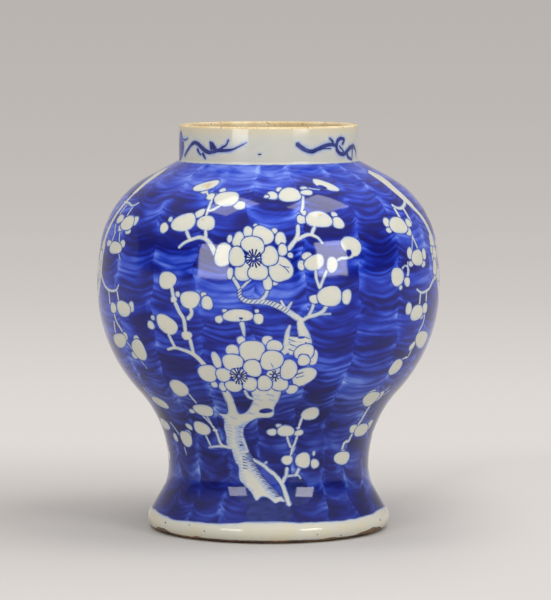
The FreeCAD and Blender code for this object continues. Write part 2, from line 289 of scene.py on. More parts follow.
def smooth(points, closed, steps=4):
    """A curve through the points, with this many steps from each to the next."""
    points = np.asarray(points, float)
    count = len(points)
    if closed:
        padded = np.concatenate([points[-1:], points, points[:2]])
    else:
        padded = np.concatenate([2 * points[:1] - points[1:2], points, 2 * points[-1:] - points[-2:-1]])
    found = []
    for number in range(count if closed else count - 1):
        a, b, c, d = padded[number:number + 4]
        for step in range(steps):
            t = step / steps
            found.append(0.5 * (2 * b + (c - a) * t + (2 * a - 5 * b + 4 * c - d) * t ** 2
                                + (3 * b - a - 3 * c + d) * t ** 3))
    if not closed:
        found.append(points[-1])
    return np.array(found)


def flat_points(points, middle_radius):
    """Angles and levels to millimetres across and along the surface."""
    angles, levels = np.asarray(points, float).T
    return np.stack([np.radians(angles) * middle_radius, far_at(levels)], -1)


def round_points(flat, middle_radius):
    return np.stack([np.degrees(flat[:, 0] / middle_radius), flat[:, 1]], -1)


def unit(ways):
    """The same directions, each of length one."""
    return ways / np.maximum(np.hypot(*ways.T), TINY)[:, None]


def pushed_out(flat, reach):
    """A closed loop moved outwards, square to itself."""
    ahead = unit(np.roll(flat, -1, 0) - np.roll(flat, 1, 0))
    x, y = flat.T
    area = np.sum(x * np.roll(y, -1) - np.roll(x, -1) * y)
    out = np.stack([ahead[:, 1], -ahead[:, 0]], -1) * math.copysign(1.0, area)
    return flat + out * reach


class Petal:
    """A round patch: a petal, a bud or a leaf, with a slightly uneven edge."""

    def __init__(self, angle, level, half_width, half_height=None, lean=0.0):
        self.middle = (angle, level)
        self.sizes = (half_width, half_width if half_height is None else half_height)
        self.lean = math.radians(lean)
        self.sway = [HAND.uniform(0, math.tau) for _ in range(3)]

    def loop(self, grown=0.0):
        wide, tall = (size + grown for size in self.sizes)
        if min(wide, tall) < LEAST_PETAL:
            return None
        count = BIG_PETAL_POINTS if wide > BIG_PETAL else SMALL_PETAL_POINTS
        turn = np.arange(count) / count * math.tau
        two, three, five = self.sway
        uneven = 1 + TWO_SWELLS * np.sin(2 * turn + two) + THREE_SWELLS * np.sin(3 * turn + three)
        if grown > 0:
            uneven = uneven + LINE_SWELLS * grown / max(self.sizes) * np.sin(5 * turn + five)
        full = np.abs(np.cos(turn)) ** SQUARENESS + np.abs(np.sin(turn)) ** SQUARENESS
        reach = uneven * full ** (-1 / SQUARENESS)
        across = wide * np.cos(turn) * reach
        up = tall * np.sin(turn) * reach
        angle, level = self.middle
        spin_x = across * math.cos(self.lean) - up * math.sin(self.lean)
        spin_y = across * math.sin(self.lean) + up * math.cos(self.lean)
        return np.stack([angle + np.degrees(spin_x / radius_at(level)), far_at(level + spin_y)], -1)


class Stroke:
    """A brush line along points, from one width to another."""

    def __init__(self, points, width, end_width=None):
        self.points = points
        self.widths = (width, width if end_width is None else end_width)

    def loop(self, grown=0.0):
        if max(self.widths) / 2 + grown < LEAST_STROKE:
            return None
        middle = radius_at(np.mean([level for _, level in self.points]))
        line = smooth(flat_points(self.points, middle), closed=False)
        ahead = unit(np.gradient(line, axis=0))
        side = np.stack([-ahead[:, 1], ahead[:, 0]], -1)
        half = np.maximum(np.linspace(*self.widths, len(line))[:, None] / 2 + grown, LEAST_HALF_WIDTH)
        tip = line[-1:] + ahead[-1:] * half[-1:] * ROUND_END
        tail = line[:1] - ahead[:1] * half[:1] * ROUND_END
        loop = np.concatenate([tail, line - side * half, tip, (line + side * half)[::-1]])
        return round_points(loop, middle)


class Patch:
    """A closed shape with a smooth edge through its points."""

    def __init__(self, points):
        self.points = points

    def loop(self, grown=0.0):
        middle = radius_at(np.mean([level for _, level in self.points]))
        flat = smooth(flat_points(self.points, middle), closed=True, steps=3)
        return round_points(pushed_out(flat, grown), middle)


# The heart of a blossom: its white as a share of the stamens' reach, its ring, dot and stamens
HEART_SHARE = 0.8
HEART_RING = 1.75
HEART_DOT = 0.62
STAMEN_WIDTHS = (0.8, 1.05)


class Painting:
    """The patches in the order they are laid down; a later one covers an earlier one."""

    def __init__(self):
        self.laid = []

    def lay(self, colour, loop):
        if loop is not None:
            self.laid.append((colour, loop))

    def reserve(self, shapes, line=LINE_REACH, rim=RIM_WIDTH, ink=LINE):
        """White shapes that run together, with one dark line round them all and a bluish rim."""
        for colour, reach in ((ink, line), (RIM, 0.0), (WHITE, -rim)):
            for shape in shapes:
                self.lay(colour, shape.loop(reach))

    def petals(self, rows, ink=LINE):
        """White petals and buds, each with its own line, the later ones in front."""
        for row in rows:
            self.reserve([Petal(*row)], ink=ink)

    def rocks(self, colour, outlines):
        """Rocks in one wash, each with a dark line round it."""
        for outline in outlines:
            self.lay(SCROLL, Patch(outline).loop(ROCK_LINE))
            self.lay(colour, Patch(outline).loop(-ROCK_EDGE))

    def strokes(self, colour, rows):
        for row in rows:
            self.lay(colour, Stroke(*row).loop())

    def stamens(self, middle, reach, count, clear=1.5):
        """Short strokes round the heart of a blossom, a dark ring and a white dot."""
        angle, level = middle
        radius = radius_at(level)
        self.lay(WHITE, Petal(angle, level, reach * HEART_SHARE).loop())
        for number in range(count):
            turn = math.tau * (number + HAND.uniform(-0.2, 0.2)) / count
            far = reach * HAND.uniform(0.8, 1.08)
            ends = [(angle + math.degrees(part * math.cos(turn) / radius), level + part * math.sin(turn))
                    for part in (clear, (clear + far) / 2, far)]
            self.lay(SCROLL, Stroke(ends, *STAMEN_WIDTHS).loop())
        self.lay(LINE, Petal(angle, level, HEART_RING).loop())
        self.lay(WHITE, Petal(angle, level, HEART_DOT).loop())


# The prunus tree that stands on each side of the vase: petals are rows of angle, level, half width,
# half height and lean; brush lines are rows of points (angle, level) with their widths

TRUNK_EDGE = [
    (-24, 79), (-21.5, 75.5), (-22.5, 70), (-22.3, 64), (-22.8, 59.5), (-20.5, 56.5), (-19.5, 52),
    (-18.3, 47.5), (-16.7, 45.5), (-16.5, 38), (-13.5, 34), (-9.8, 30.5), (-6.7, 25.2), (-4.5, 26.7),
    (-2.8, 27.3), (-0.5, 26.8), (1.5, 25.4), (3.6, 23.6), (6, 24.6), (8.8, 24.4), (7, 27.4), (4.6, 30.2),
    (1.6, 33.4), (-1.6, 37.4), (-4.5, 41.6), (-6.8, 46), (-8.5, 50), (-10, 53), (-11, 56.5), (-12.3, 62),
    (-13, 66), (-12.2, 70), (-9.5, 73.5), (-5, 76.5), (0, 76.8), (2.4, 78.6), (2.4, 83.4), (4.4, 89.5),
    (4, 96), (-6, 96), (-6.4, 88), (-9.5, 81), (-13.5, 79), (-14.4, 84), (-14.8, 90), (-16, 95),
    (-18.6, 95), (-18.4, 90), (-18, 84), (-19.5, 78.5),
]

TREE_LIMBS = [
    ([(-9.2, 94.5), (-8, 90.5), (-5, 88.8)], 2.0),
    ([(-20, 57), (-25, 57.4), (-30, 57), (-34, 56)], 2.4, 1.4),
    ([(-8.5, 49.8), (-3, 46.5), (0, 43.5), (3.5, 40.5), (6.5, 36.5), (8, 33.5), (9, 30), (10, 26),
      (10.8, 22.5)], 2.0, 3.0),
    ([(-3, 46.5), (-1, 48.5)], 1.4),
    ([(7.8, 35.5), (8.8, 38), (9.8, 40), (10.3, 44.5)], 2.2),
    ([(10, 39.5), (13.5, 39.8), (16.5, 40), (18.3, 37.8)], 1.5, 1.1),
    ([(15.3, 39.8), (17.5, 44.5)], 2.2),
    ([(10.2, 139.5), (10.5, 135), (11.5, 130)], 3.0, 6.6),
    ([(11.5, 130), (12.8, 125), (13.2, 119)], 6.6, 5.2),
    ([(6.9, 135), (6.2, 131), (6, 126), (5.5, 119)], 1.6, 4.6),
    ([(6, 127), (12, 126)], 3.5),
    ([(7.4, 121.5), (12, 121)], 9.0),
    ([(9.5, 139.5), (7.8, 141.5), (6.2, 143.5), (4.5, 145.5), (2, 147.5), (0, 148.8), (-2.5, 149.3),
      (-5.5, 149.3), (-8, 150.5), (-9.2, 153), (-9.3, 156.5), (-10.3, 160), (-11.5, 163.5)], 3.6, 2.0),
    ([(5, 146), (4, 150)], 2.0, 1.2),
    ([(6, 145), (7.4, 149)], 2.0, 1.2),
    ([(-8.5, 157.5), (-5.8, 162.5)], 1.5),
    ([(-2.5, 149.8), (-0.8, 153.5), (-0.3, 157)], 2.2),
    ([(10.8, 138), (12.8, 140), (15.5, 141.2), (17.5, 143), (19, 146.5)], 2.4),
    ([(13, 141), (14, 144.5), (14.5, 148)], 2.0),
    ([(15.5, 141.2), (20.3, 141.6)], 1.2),
    ([(-8, 128.5), (-8.2, 133), (-8.6, 136.5)], 1.4, 3.4),
]

HANGING_TWIGS = [
    ([(22.6, 172.6), (24.2, 174), (26.6, 174.2), (29, 175.6), (30, 178)], 1.5, 2.2),
    ([(15.3, 167.5), (15.5, 162.5), (16.6, 157)], 1.8),
    ([(19, 167), (17.5, 161), (16.6, 157)], 1.8),
    ([(10.2, 193.5), (9.6, 187), (6.5, 180)], 2.4, 2.8),
    ([(9.5, 185.5), (13.5, 188.3), (16.5, 186.5), (18.2, 183)], 2.5, 1.2),
    ([(16, 192.8), (14.5, 188)], 2.2),
    ([(13.8, 210), (13, 205), (12, 200.8)], 1.8),
    ([(17.5, 214.5), (19.5, 213.9), (22, 213.5)], 1.0),
    ([(-26, 145.5), (-25.5, 141.5), (-27, 138)], 2.5),
    ([(-31.5, 147.5), (-30, 142), (-28.5, 137.5), (-28.3, 130)], 2.5),
    ([(-27, 126), (-26.7, 122), (-26.5, 117)], 2.5),
    ([(-36.8, 118.5), (-33.5, 120), (-30, 118.8), (-27, 117), (-25, 114.3), (-22.6, 109)], 1.6, 3.4),
    ([(-35.5, 130), (-34.3, 124), (-33.3, 120)], 2.2),
    ([(-33, 157), (-32, 150.5)], 2.5),
    ([(-34.5, 91.5), (-33, 85)], 1.4),
    ([(-33.5, 78), (-30, 72), (-28.5, 69)], 1.3),
    ([(-30.5, 77), (-29, 69.5)], 1.3),
    ([(-28.8, 70), (-27.5, 66), (-26.5, 59.5), (-24, 57.2)], 1.6, 2.2),
    ([(-35, 65), (-33, 58), (-31.5, 56)], 1.3),
    ([(-60, 69), (-55.5, 62)], 1.2),
    ([(-64, 91), (-62, 84)], 1.2),
    ([(-53.5, 54), (-52.5, 49.5)], 1.2, 0.6),
    ([(9.5, 65), (10.5, 61), (12, 57.5)], 1.5),
    ([(15, 65), (14, 60), (12.8, 56.5), (12.3, 53), (10.8, 50.5)], 1.5),
    ([(13, 54.5), (14.4, 57.4)], 1.2, 0.7),
    ([(16.2, 77.5), (15.5, 73), (15.2, 70)], 1.7),
    ([(-18, 205), (-20.5, 202.5), (-22.3, 201.5)], 1.8),
    ([(-22.5, 208), (-22.8, 197.5)], 1.8),
    ([(-26.8, 212.5), (-23.8, 209)], 1.6),
    ([(-29.5, 191), (-28, 187), (-26.8, 184.5)], 2.2),
    ([(-22, 192), (-21.3, 185)], 2.2),
    ([(-31, 180), (-29, 183), (-26, 185.3), (-23.5, 186.3), (-21, 185), (-19.3, 182), (-17.6, 177)],
     1.6, 3.2),
]

EDGE_TWIGS = [
    ([(-80, 222), (-75, 219.5), (-71.5, 215), (-70.4, 209), (-71.6, 202), (-73.4, 194), (-74.6, 187),
      (-76, 179), (-76, 168), (-77, 157), (-80, 149), (-85, 141), (-89, 131), (-90, 120)], 2.4, 8.0),
    ([(-80, 222), (-75, 219.5), (-71.5, 215), (-70.4, 209)], 11.0, 5.0),
    ([(-76, 178), (-77, 170), (-77, 161)], 9.0, 9.0),
    ([(-75.5, 160.5), (-71, 154), (-66, 151), (-60.5, 151.5), (-58.5, 155)], 2.2, 1.3),
    ([(-61.5, 201), (-62, 196.5)], 1.5),
    ([(-68, 202), (-69, 196.5)], 1.5),
    ([(-73.5, 203.5), (-67, 203.2), (-62.5, 202), (-59, 204)], 1.8, 1.2),
    ([(-68.5, 190.5), (-66.5, 185.5)], 1.4),
    ([(-66, 186), (-67, 180.5)], 1.4),
    ([(-62.5, 187), (-61, 180.5)], 1.4),
    ([(-60.5, 175), (-58.5, 170)], 1.4, 0.8),
    ([(-59.5, 151), (-58.5, 145)], 1.6),
    ([(-66, 151), (-65.5, 143)], 1.6),
    ([(-63, 138), (-62, 132.5), (-59.5, 127.5), (-57.5, 122.5)], 1.8),
    ([(-64, 132), (-65, 125)], 1.6),
    ([(-58, 121), (-55.5, 116), (-53, 110.5), (-51, 105)], 1.2, 0.7),
    ([(67, 220.5), (64.6, 217), (63.4, 212.8), (65, 207.4), (68, 202), (71, 197.6), (73.6, 192), (75.2, 186),
      (76.6, 179), (76, 168), (77.5, 160), (80, 152), (84, 144), (88, 134), (90, 122)], 2.6, 9.0),
    ([(68.4, 220.2), (66.8, 217), (65.8, 212.8), (67, 207.4), (69.6, 201)], 14.0, 5.0),
    ([(74.8, 182), (74.5, 172), (75.8, 162)], 9.0, 11.0),
    ([(76, 158.5), (71, 156), (66.5, 151.5), (61, 150), (57.5, 152.5)], 2.4, 1.3),
    ([(54, 203), (56, 201.3), (59, 201), (63.5, 203), (66, 205.2)], 2.2),
    ([(54, 201), (54.5, 194.5)], 2.3),
    ([(60, 201), (60.5, 192)], 2.4),
    ([(58, 187), (58.5, 183), (60, 177)], 1.6),
    ([(58, 184), (56, 176)], 1.2),
    ([(49.5, 166), (51.5, 167.3), (53, 165), (52, 159)], 1.4),
    ([(53, 169.5), (51.8, 160)], 1.4),
    ([(60, 150), (59.5, 143)], 1.7),
    ([(64.5, 150), (64.5, 142)], 1.7),
    ([(64, 137), (64.5, 132), (62, 124.5), (61, 118.5)], 1.6),
    ([(61, 114.5), (60, 110.5), (58.5, 110.7), (55, 108.5)], 1.3),
    ([(53, 87), (57.5, 90), (59, 92.4)], 1.5, 0.8),
    ([(55, 83.5), (62, 89.5)], 1.5, 0.8),
    ([(54, 81), (54, 77.5), (53.5, 71.5), (52.5, 69), (50.5, 64.5), (49.5, 61.5), (48.5, 58.8),
      (46.5, 58.5), (45, 57), (44.5, 52)], 1.8, 2.2),
]

SIDE_BUDS = [
    (-85.5, 172.5, 3.8, 3.4), (-79, 158.5, 3.6, 3), (-78.4, 169.5, 4.8, 4.6), (-81.6, 163, 6.4, 4.8),
    (-66.5, 193.8, 4.8, 2.6), (-55, 193.7, 3.5, 2.8), (-57, 187.4, 3.1, 1.8), (-62.8, 189, 3.5, 2.3),
    (-59.4, 192, 7.8, 4.2), (-69.5, 179, 4.4, 1.9), (-58.5, 179.8, 3, 2.5), (-63.4, 176.8, 8.4, 3.9),
    (-63, 140.5, 4, 3.4), (-51.2, 142.8, 2.8, 3.3), (-56, 141, 7.8, 4.7),
    (-58, 124, 3.2, 2.5), (-63.5, 120.5, 10, 4.3, 8), (-51, 122.5, 3, 3), (-55.5, 112.5, 3.2, 2.3),
    (-51.5, 116.5, 7, 6.2, 22),
    (46, 193.5, 3, 2.8), (45.8, 189, 2.2, 1.7), (58.6, 192.2, 3.4, 2.4), (56.6, 187.2, 3.1, 2.4),
    (51.8, 191.3, 8.2, 5), (28.5, 181, 6.8, 5.4, -35),
    (54.6, 174.6, 3, 3.5), (64.4, 173, 3, 3.4), (63, 167.2, 3, 1.9), (54.6, 168.2, 2.4, 1.8),
    (59.2, 171.4, 6.6, 5.1), (51.8, 157.8, 3, 2.8), (48.3, 154.8, 1.5), (46.9, 161.3, 5.4, 5.8),
    (53, 141.4, 3.4, 3.6), (64, 140.2, 3.6, 3.4), (62, 135.5, 2, 1.8), (58.4, 138.2, 7.6, 4.6),
    (60.5, 117.5, 3.5, 2.5, 40), (67.5, 120.5, 11.4, 5, -14), (54.5, 105.3, 6.2, 4.9, -10),
    (47, 89.6, 3.8, 1.8, 30), (56, 86.5, 3, 3.4), (50.5, 85.6, 7.6, 4.8, -12), (49.5, 66.4, 3.6, 2.8),
    (65.5, 67, 3.4, 3), (58, 64.5, 8.2, 4), (45.6, 51.6, 2, 2.2), (45.6, 48.4, 6.8, 4.2, -10),
    (-47, 63.5, 2.5, 2.4), (-60.5, 59.5, 2.5, 2.7), (-50, 60, 5.8, 4.8, 5), (-70, 66.5, 7.6, 3.6),
    (-59, 82, 8.2, 3.5, -10),
]

EDGE_BLOSSOM = [
    (72.6, 174.6, 2.6, 2.4), (81.8, 177.6, 3, 2.4), (73.6, 158.6, 2.6, 2.6), (76.2, 171.8, 5.4, 4.4, -15),
    (82.4, 170.6, 5, 4.6, 20), (84.8, 164, 4.6, 4.6), (79.8, 158.8, 5.6, 4.2), (74.4, 163.8, 4.8, 5),
]

SHOULDER_BUDS = [
    (-27.5, 212.7, 2.6, 1.6), (-28.4, 215.4, 7.6, 2.6, 15), (-21.5, 209.5, 1.6, 1.8),
    (-23.5, 209.5, 2.8, 1.9), (-19.5, 213.3, 2.1, 1.1), (-11, 205, 3.6, 2.4), (-16.6, 208.5, 7.2, 4.3),
    (-37, 196, 1.5), (-38.7, 191, 3, 3.2, 30), (-25.5, 200, 3.2, 2.2, 25), (-31, 194.5, 8, 5.2, 15),
    (-22.2, 194.6, 5.8, 4.2),
    (1.5, 210.5, 3.3, 2.2), (-0.8, 210, 1.6, 0.9), (4.6, 213.8, 2, 1.3), (8.6, 210.8, 6.9, 3.8),
    (15.3, 214.5, 2.2, 0.9), (15.8, 212, 3.7, 1.6), (26, 215.8, 7, 2.6, -20),
    (11.6, 197, 2.7, 2.6), (12.9, 200.5, 1.5), (24.2, 199.5, 2, 1.4), (25, 194.5, 3.7, 3.3),
    (18, 196.8, 8, 4.7),
    (12.6, 175.8, 3, 2.4), (10.6, 170.5, 2.1, 3), (21, 170.5, 3.5, 4.5), (15, 172, 6.5, 4.2, 20),
    (14.8, 150.5, 3, 2.7), (25.8, 151.3, 3.2, 4.5), (20, 152, 7.3, 6.3),
]

MIDDLE_BUDS = [
    (-16.1, 138.6, 2.4, 2.3), (-14.2, 143.7, 1.6, 1), (-3.7, 143.7, 1.3, 1.1), (-3.2, 139.2, 3.1, 3),
    (-9.8, 141, 8.8, 3.8),
    (-30.5, 152.5, 1.7), (-21.2, 153, 1.8, 1.5), (-20, 148, 3.6, 4), (-32, 149.3, 2.2, 2),
    (-26, 149.7, 6.8, 5), (-28, 128, 3.5, 2.7), (-41, 137.5, 1.5), (-42.3, 132.8, 2.8, 2.6),
    (-35.4, 134, 8.2, 5.2, -22), (-34.6, 160.5, 6.5, 5), (-38, 94, 7.2, 5, 14),
    (-38, 79, 2, 1.5), (-31, 80.3, 7.2, 3.7, -4), (-44.5, 68.3, 2.8, 1.7, -30), (-28, 67.5, 1.8, 1),
    (-36, 68, 6.3, 4.1, -8),
    (1.7, 67.3, 3.1, 2.1), (5, 71.5, 1.7, 1.3), (15, 69.5, 1.2), (15.5, 66.5, 2.9, 1.9, 15),
    (8.7, 68, 5, 3.7), (19.6, 78.8, 5.4, 4.3, 8),
    (10.3, 49.5, 3.3, 3.1), (25.5, 53, 1, 1.7), (26.5, 46.5, 2.8, 3, 20), (19.4, 49, 5, 4.7),
]

# Petals of blue ground that bite into a bud
NOTCHES = [(51.2, 164.6, 1.5, 2.2), (27.2, 177, 1.5, 1.8), (23.8, 214.7, 2.6, 0.8, -10)]

TOP_BLOSSOM = [
    (-13, 186, 1.6, 2.2), (-4.5, 193.5, 1.2), (2, 190.5, 1.8), (7.1, 176.5, 1.6), (-14.8, 176.5, 5.5, 6.8),
    (-6.9, 190, 3, 3), (4, 186, 3.3, 3.8), (-10.1, 185.6, 3.3, 4.2, -20), (-1.9, 188, 6.2, 5.2, -25),
    (4.6, 179.6, 2.8, 3.4), (2, 160, 1.8, 1), (-12.4, 165.8, 1.8, 3.4), (-0.3, 160.3, 2.6, 4.4),
    (3.9, 168.3, 6.8, 7.6, 20), (-8.2, 166.8, 5.2, 5.2), (-3.3, 166.8, 6.2, 4.6), (-10.3, 175.5, 4.9, 5.6),
    (0.4, 176, 4.9, 5.8, 10), (-5.1, 182.3, 6.8, 5, -10),
]

LOWER_BLOSSOMS = [
    (-21, 98, 2.2, 2), (-17.8, 96.7, 2.3, 2.9), (-22.5, 105, 6, 5.5), (-18.3, 113.5, 2.8, 5, 10),
    (-12.2, 120, 4.2, 3.2), (-9, 126, 2.6, 2.6), (-0.4, 126, 3, 3.2), (-5.6, 119.5, 7.8, 6.5),
    (2, 122.8, 4.6, 3.6), (15.6, 115.2, 2.6, 5), (12.2, 118.8, 5.8, 5), (12.2, 113.8, 3.8, 3.4),
    (13, 103.5, 7.2, 5.6, 25), (9, 95.5, 3.8, 2.8), (4.4, 98.6, 5.2, 3.8), (-1.5, 99.5, 4.2, 5),
    (7.2, 108, 5.2, 6), (1.1, 114, 6.8, 6),
    (-7.2, 99, 5, 4.2), (-13.4, 97.2, 5, 3.6), (-16.5, 104.5, 4.6, 4.4), (-5.6, 109, 5.3, 5.3),
    (-12.5, 112.5, 6.6, 4.9), (-10.8, 104.4, 4.6, 4.2),
]

BEHIND_LOWER_BLOSSOMS = (2.6, 104.4, 5.2, 5)

# The hearts of blossoms: the middle, how far the stamens reach, their number and the gap inside them
EDGE_HEART = ((79.4, 165.6), 4.2, 11)
HEARTS = [((-4.8, 174.5), 5.2, 15), ((-10.8, 103.9), 5.4, 15), ((2.3, 104.3), 3.6, 9, 1.8)]

# Fine lines over the petals
CREASES = [
    ([(3.6, 171.2), (5.4, 169), (6.6, 166.4)], 0.5),
    ([(4.4, 170.2), (6.6, 169.4)], 0.5),
    ([(9.6, 104.6), (12.4, 106.2)], 0.8),
    ([(10.2, 102.8), (12.8, 104)], 0.6),
    ([(11.4, 96.7), (12.6, 97.5), (14, 97.4)], 0.9),
    ([(-9.3, 139.4), (-8.4, 139.2)], 1.3),
    ([(-8.9, 138.6), (-9, 137)], 0.4),
    ([(0.9, 112), (1.8, 109)], 0.4),
]

# Dark hollows in the trunk, the first with a line round it
TRUNK_HOLLOWS = [
    (LINE, (-1.2, 81.3, 4.1, 1.7, 8)),
    (GROUND, (-1.2, 81.3, 3.4, 1.2, 8)),
    (GROUND, (10.8, 127.8, 2.0, 0.8)),
]

ROCKS = [
    [(-10.6, 20), (-9.2, 24.4), (-6.5, 26.6), (-2.8, 27.9), (0.8, 26.8), (2.8, 24.2), (3.6, 20), (2.6, 14.6),
     (-4, 13.4), (-10, 14.4)],
    [(3.4, 20), (4.6, 24.2), (7.5, 25.6), (9.8, 24.3), (11.4, 20), (11, 15), (7, 13.6), (4, 15)],
]

ROCK_SHADOWS = [
    [(-17.5, 32), (-14.5, 35.4), (-10.6, 33.5), (-7.6, 28), (-9.5, 24), (-15, 25)],
    [(10.6, 33), (12.8, 37), (16.5, 38.8), (20, 37.2), (22, 32), (22.4, 26), (17, 22.4), (11.6, 24)],
]

STONES = [
    [(-8.6, 49), (-2.2, 46), (3.4, 40.4), (7.4, 34.4), (9.6, 27.5), (8, 24.2), (4.4, 28), (-0.2, 33.4),
     (-4.6, 39.6), (-7.8, 44.4)],
]

NECK_LEAF = [
    (-78.5, 227.4), (-73, 230.2), (-69, 235.4), (-70, 241), (-75.6, 246.6), (-80.4, 243), (-83.4, 237),
    (-82.4, 231.4),
]
NECK_LEAF_EDGE = 0.9
NECK_LEAF_VEIN = ([(-78.3, 229), (-77, 236), (-75.8, 244)], 1.1, 0.5)

NECK_SCROLLS = [
    ([(-67.5, 231.5), (-61.5, 236), (-57.5, 238.7), (-54, 240), (-50, 239), (-46.5, 236.8)], 1.6, 2.8),
    ([(-46.5, 236.8), (-43.5, 235.2), (-40, 234.5), (-36, 235), (-33, 236), (-30, 237.8), (-27.5, 239),
      (-25.7, 242.3)], 3.0, 0.8),
    ([(-34, 235.8), (-27, 236), (-23, 236.6), (-18.5, 238.5), (-13.5, 241)], 2.4, 0.4),
    ([(-39.5, 241), (-38.5, 236.5)], 1.2, 2.4),
    ([(-38.5, 240), (-35, 235.5)], 2.6, 3.2),
    ([(-51, 236), (-49.5, 234), (-47.5, 232.8)], 2.2, 1.0),
    ([(-46, 233.6), (-43.5, 230.5)], 2.2, 1.0),
    ([(-71, 241.5), (-67, 241.2), (-62.5, 242.3)], 1.2, 0.6),
    ([(18, 240), (21.5, 237.5), (25, 235.8), (28.5, 235.3), (32, 236.5), (36.5, 238), (41, 239),
      (45, 239)], 2.8, 2.2),
    ([(45, 239), (48, 238), (48.5, 235.8), (51.5, 233.5), (56, 233), (59.5, 234.5), (64, 236.5),
      (70, 237.2)], 2.2, 2.8),
    ([(48, 238.5), (49.5, 241.5), (53, 242.5), (56, 241.5), (54, 239)], 2.8, 1.6),
    ([(41.5, 243), (43.5, 241.8), (45, 240)], 0.9, 2.2),
    ([(51, 238), (53.5, 236), (56, 234)], 1.2),
    ([(59.5, 234), (61, 231), (67, 229)], 2.6, 1.4),
    ([(67.5, 236), (67, 230)], 1.8, 1.2),
    ([(33, 236), (37, 236.8), (43, 236.8)], 0.9, 0.7),
    ([(70, 237.2), (74, 234.5), (75.5, 231)], 2.4, 1.2),
]

# The lower edge of the blue on each side, as angles and levels
BLUE_EDGE = [
    (-84, 12.2), (-75, 12.8), (-65, 11.8), (-50, 10.6), (-40, 11), (-30, 11), (-20, 11.8), (-10, 13.2),
    (0, 13.6), (8, 13.4), (15, 12.2), (30, 12), (45, 11.8), (60, 12.4), (70, 13.4), (80, 13),
]

# Where the glaze is chipped above the bare ring: angle, height and half width in degrees
CHIPS = [
    (-63, 2.4, 6.0), (-57, 1.8, 3.4), (53, 1.9, 7.5), (60, 2.6, 5.0), (66, 2.2, 4.0), (-36, 0.9, 3.0),
    (31, 0.8, 3.0), (112, 1.8, 5.0), (150, 1.1, 3.0), (196, 1.6, 4.0), (244, 1.5, 4.0),
]

# Spots of iron and ochre stains, as rows like a petal's
IRON_SPOTS = [
    (-5.5, 233.8, 1.1, 0.45), (-8.5, 213, 0.75, 0.5), (66, 8, 0.6, 0.55), (-57, 8, 0.7, 0.5),
    (-31, 6.5, 0.45, 0.45), (23, 5.2, 0.4, 0.35), (-40, 9, 0.4, 0.3), (128, 236, 0.8, 0.5),
    (171, 208, 0.6, 0.5), (214, 7, 0.6, 0.5), (139, 9, 0.5, 0.4), (36, 3.4, 0.5, 0.4),
]
STAINS = [
    (-28.2, 215.8, 2.6, 1.0, 12), (18.6, 199.6, 1.8, 0.8), (-27.2, 214.6, 1.2, 0.8),
    (-23.6, 196.6, 0.8, 0.5),
]

# The painting is laid out from one seam round to the same seam, with a tree on each side
SIDE_STEP = 180.0
DOMAIN_START = -90.0
DOMAIN_END = DOMAIN_START + 2 * SIDE_STEP
MEETING_ANGLES = (DOMAIN_START, DOMAIN_START + SIDE_STEP, DOMAIN_END)

# What stands between the two trees, where their outer branches meet; its angles count from the middle
MEETING_LIMBS = [
    ([(0, 122), (-0.6, 112), (1, 100), (-0.4, 88), (1.4, 76)], 8.0, 9.0),
    ([(1.4, 76), (-1, 64), (1, 52), (-0.4, 40), (1.4, 27)], 9.0, 11.0),
    ([(1, 100), (4, 96.5), (7.4, 96), (9.6, 92)], 3.0, 1.5),
    ([(-0.6, 111), (-4, 107.5), (-8, 106)], 3.0, 1.5),
    ([(0, 64), (-5, 60), (-8.4, 61)], 2.8, 1.3),
    ([(0.6, 50), (5, 47), (9, 48)], 2.8, 1.3),
    ([(-1, 190), (1.4, 184), (0.4, 178)], 1.8, 1.2),
    ([(4, 190), (4.6, 183), (3.2, 177)], 1.6, 1.1),
    ([(-6, 194.5), (-1, 191), (4, 190), (9, 193)], 2.4, 2.0),
]
MEETING_SHADING = [
    (-3, 116), (-2.6, 108), (-2.4, 99), (-3.2, 92), (-2, 84), (-1.6, 77), (-4, 69), (-3.6, 60),
    (-2.4, 52), (-3.6, 44), (-3.4, 36), (-2.6, 30),
]
MEETING_HATCHING = [
    (3.6, 104), (3.4, 101), (3.4, 97.6), (2.4, 72), (1.8, 69.4), (1.6, 66.6), (4.4, 50), (4.6, 47.4),
    (4.4, 44.6), (3.6, 41.6), (3.8, 38.6), (4.4, 35.6), (5.4, 32.6), (6, 29.8),
]
MEETING_HEART = (119, 2.9, 5.5)
MEETING_BUDS = [
    (-5, 176, 3, 2.8), (5.8, 174.6, 3.2, 3), (0.4, 174.4, 5.2, 4.6), (-2.4, 180.2, 1.8, 1.6),
    (11, 94.4, 1.8, 1.6), (9.6, 89.6, 3.8, 3.2, -10), (-7.4, 109.4, 1.8, 1.6), (-8.6, 103.4, 3.6, 3.2),
    (-8.4, 64, 1.6, 1.5), (-9.6, 59.6, 3.2, 2.8), (10.4, 50.6, 1.6, 1.5), (10.4, 46, 3.4, 3),
    (-6, 139, 2.4, 2.2), (0.4, 139.6, 5.6, 4.8), (6.4, 139.2, 2.4, 2.6),
]


def dashes(places, start, end, *widths):
    """The same short stroke at every place, between two points that count from it."""
    return [([(angle + start[0], level + start[1]), (angle + end[0], level + end[1])], *widths)
            for angle, level in places]


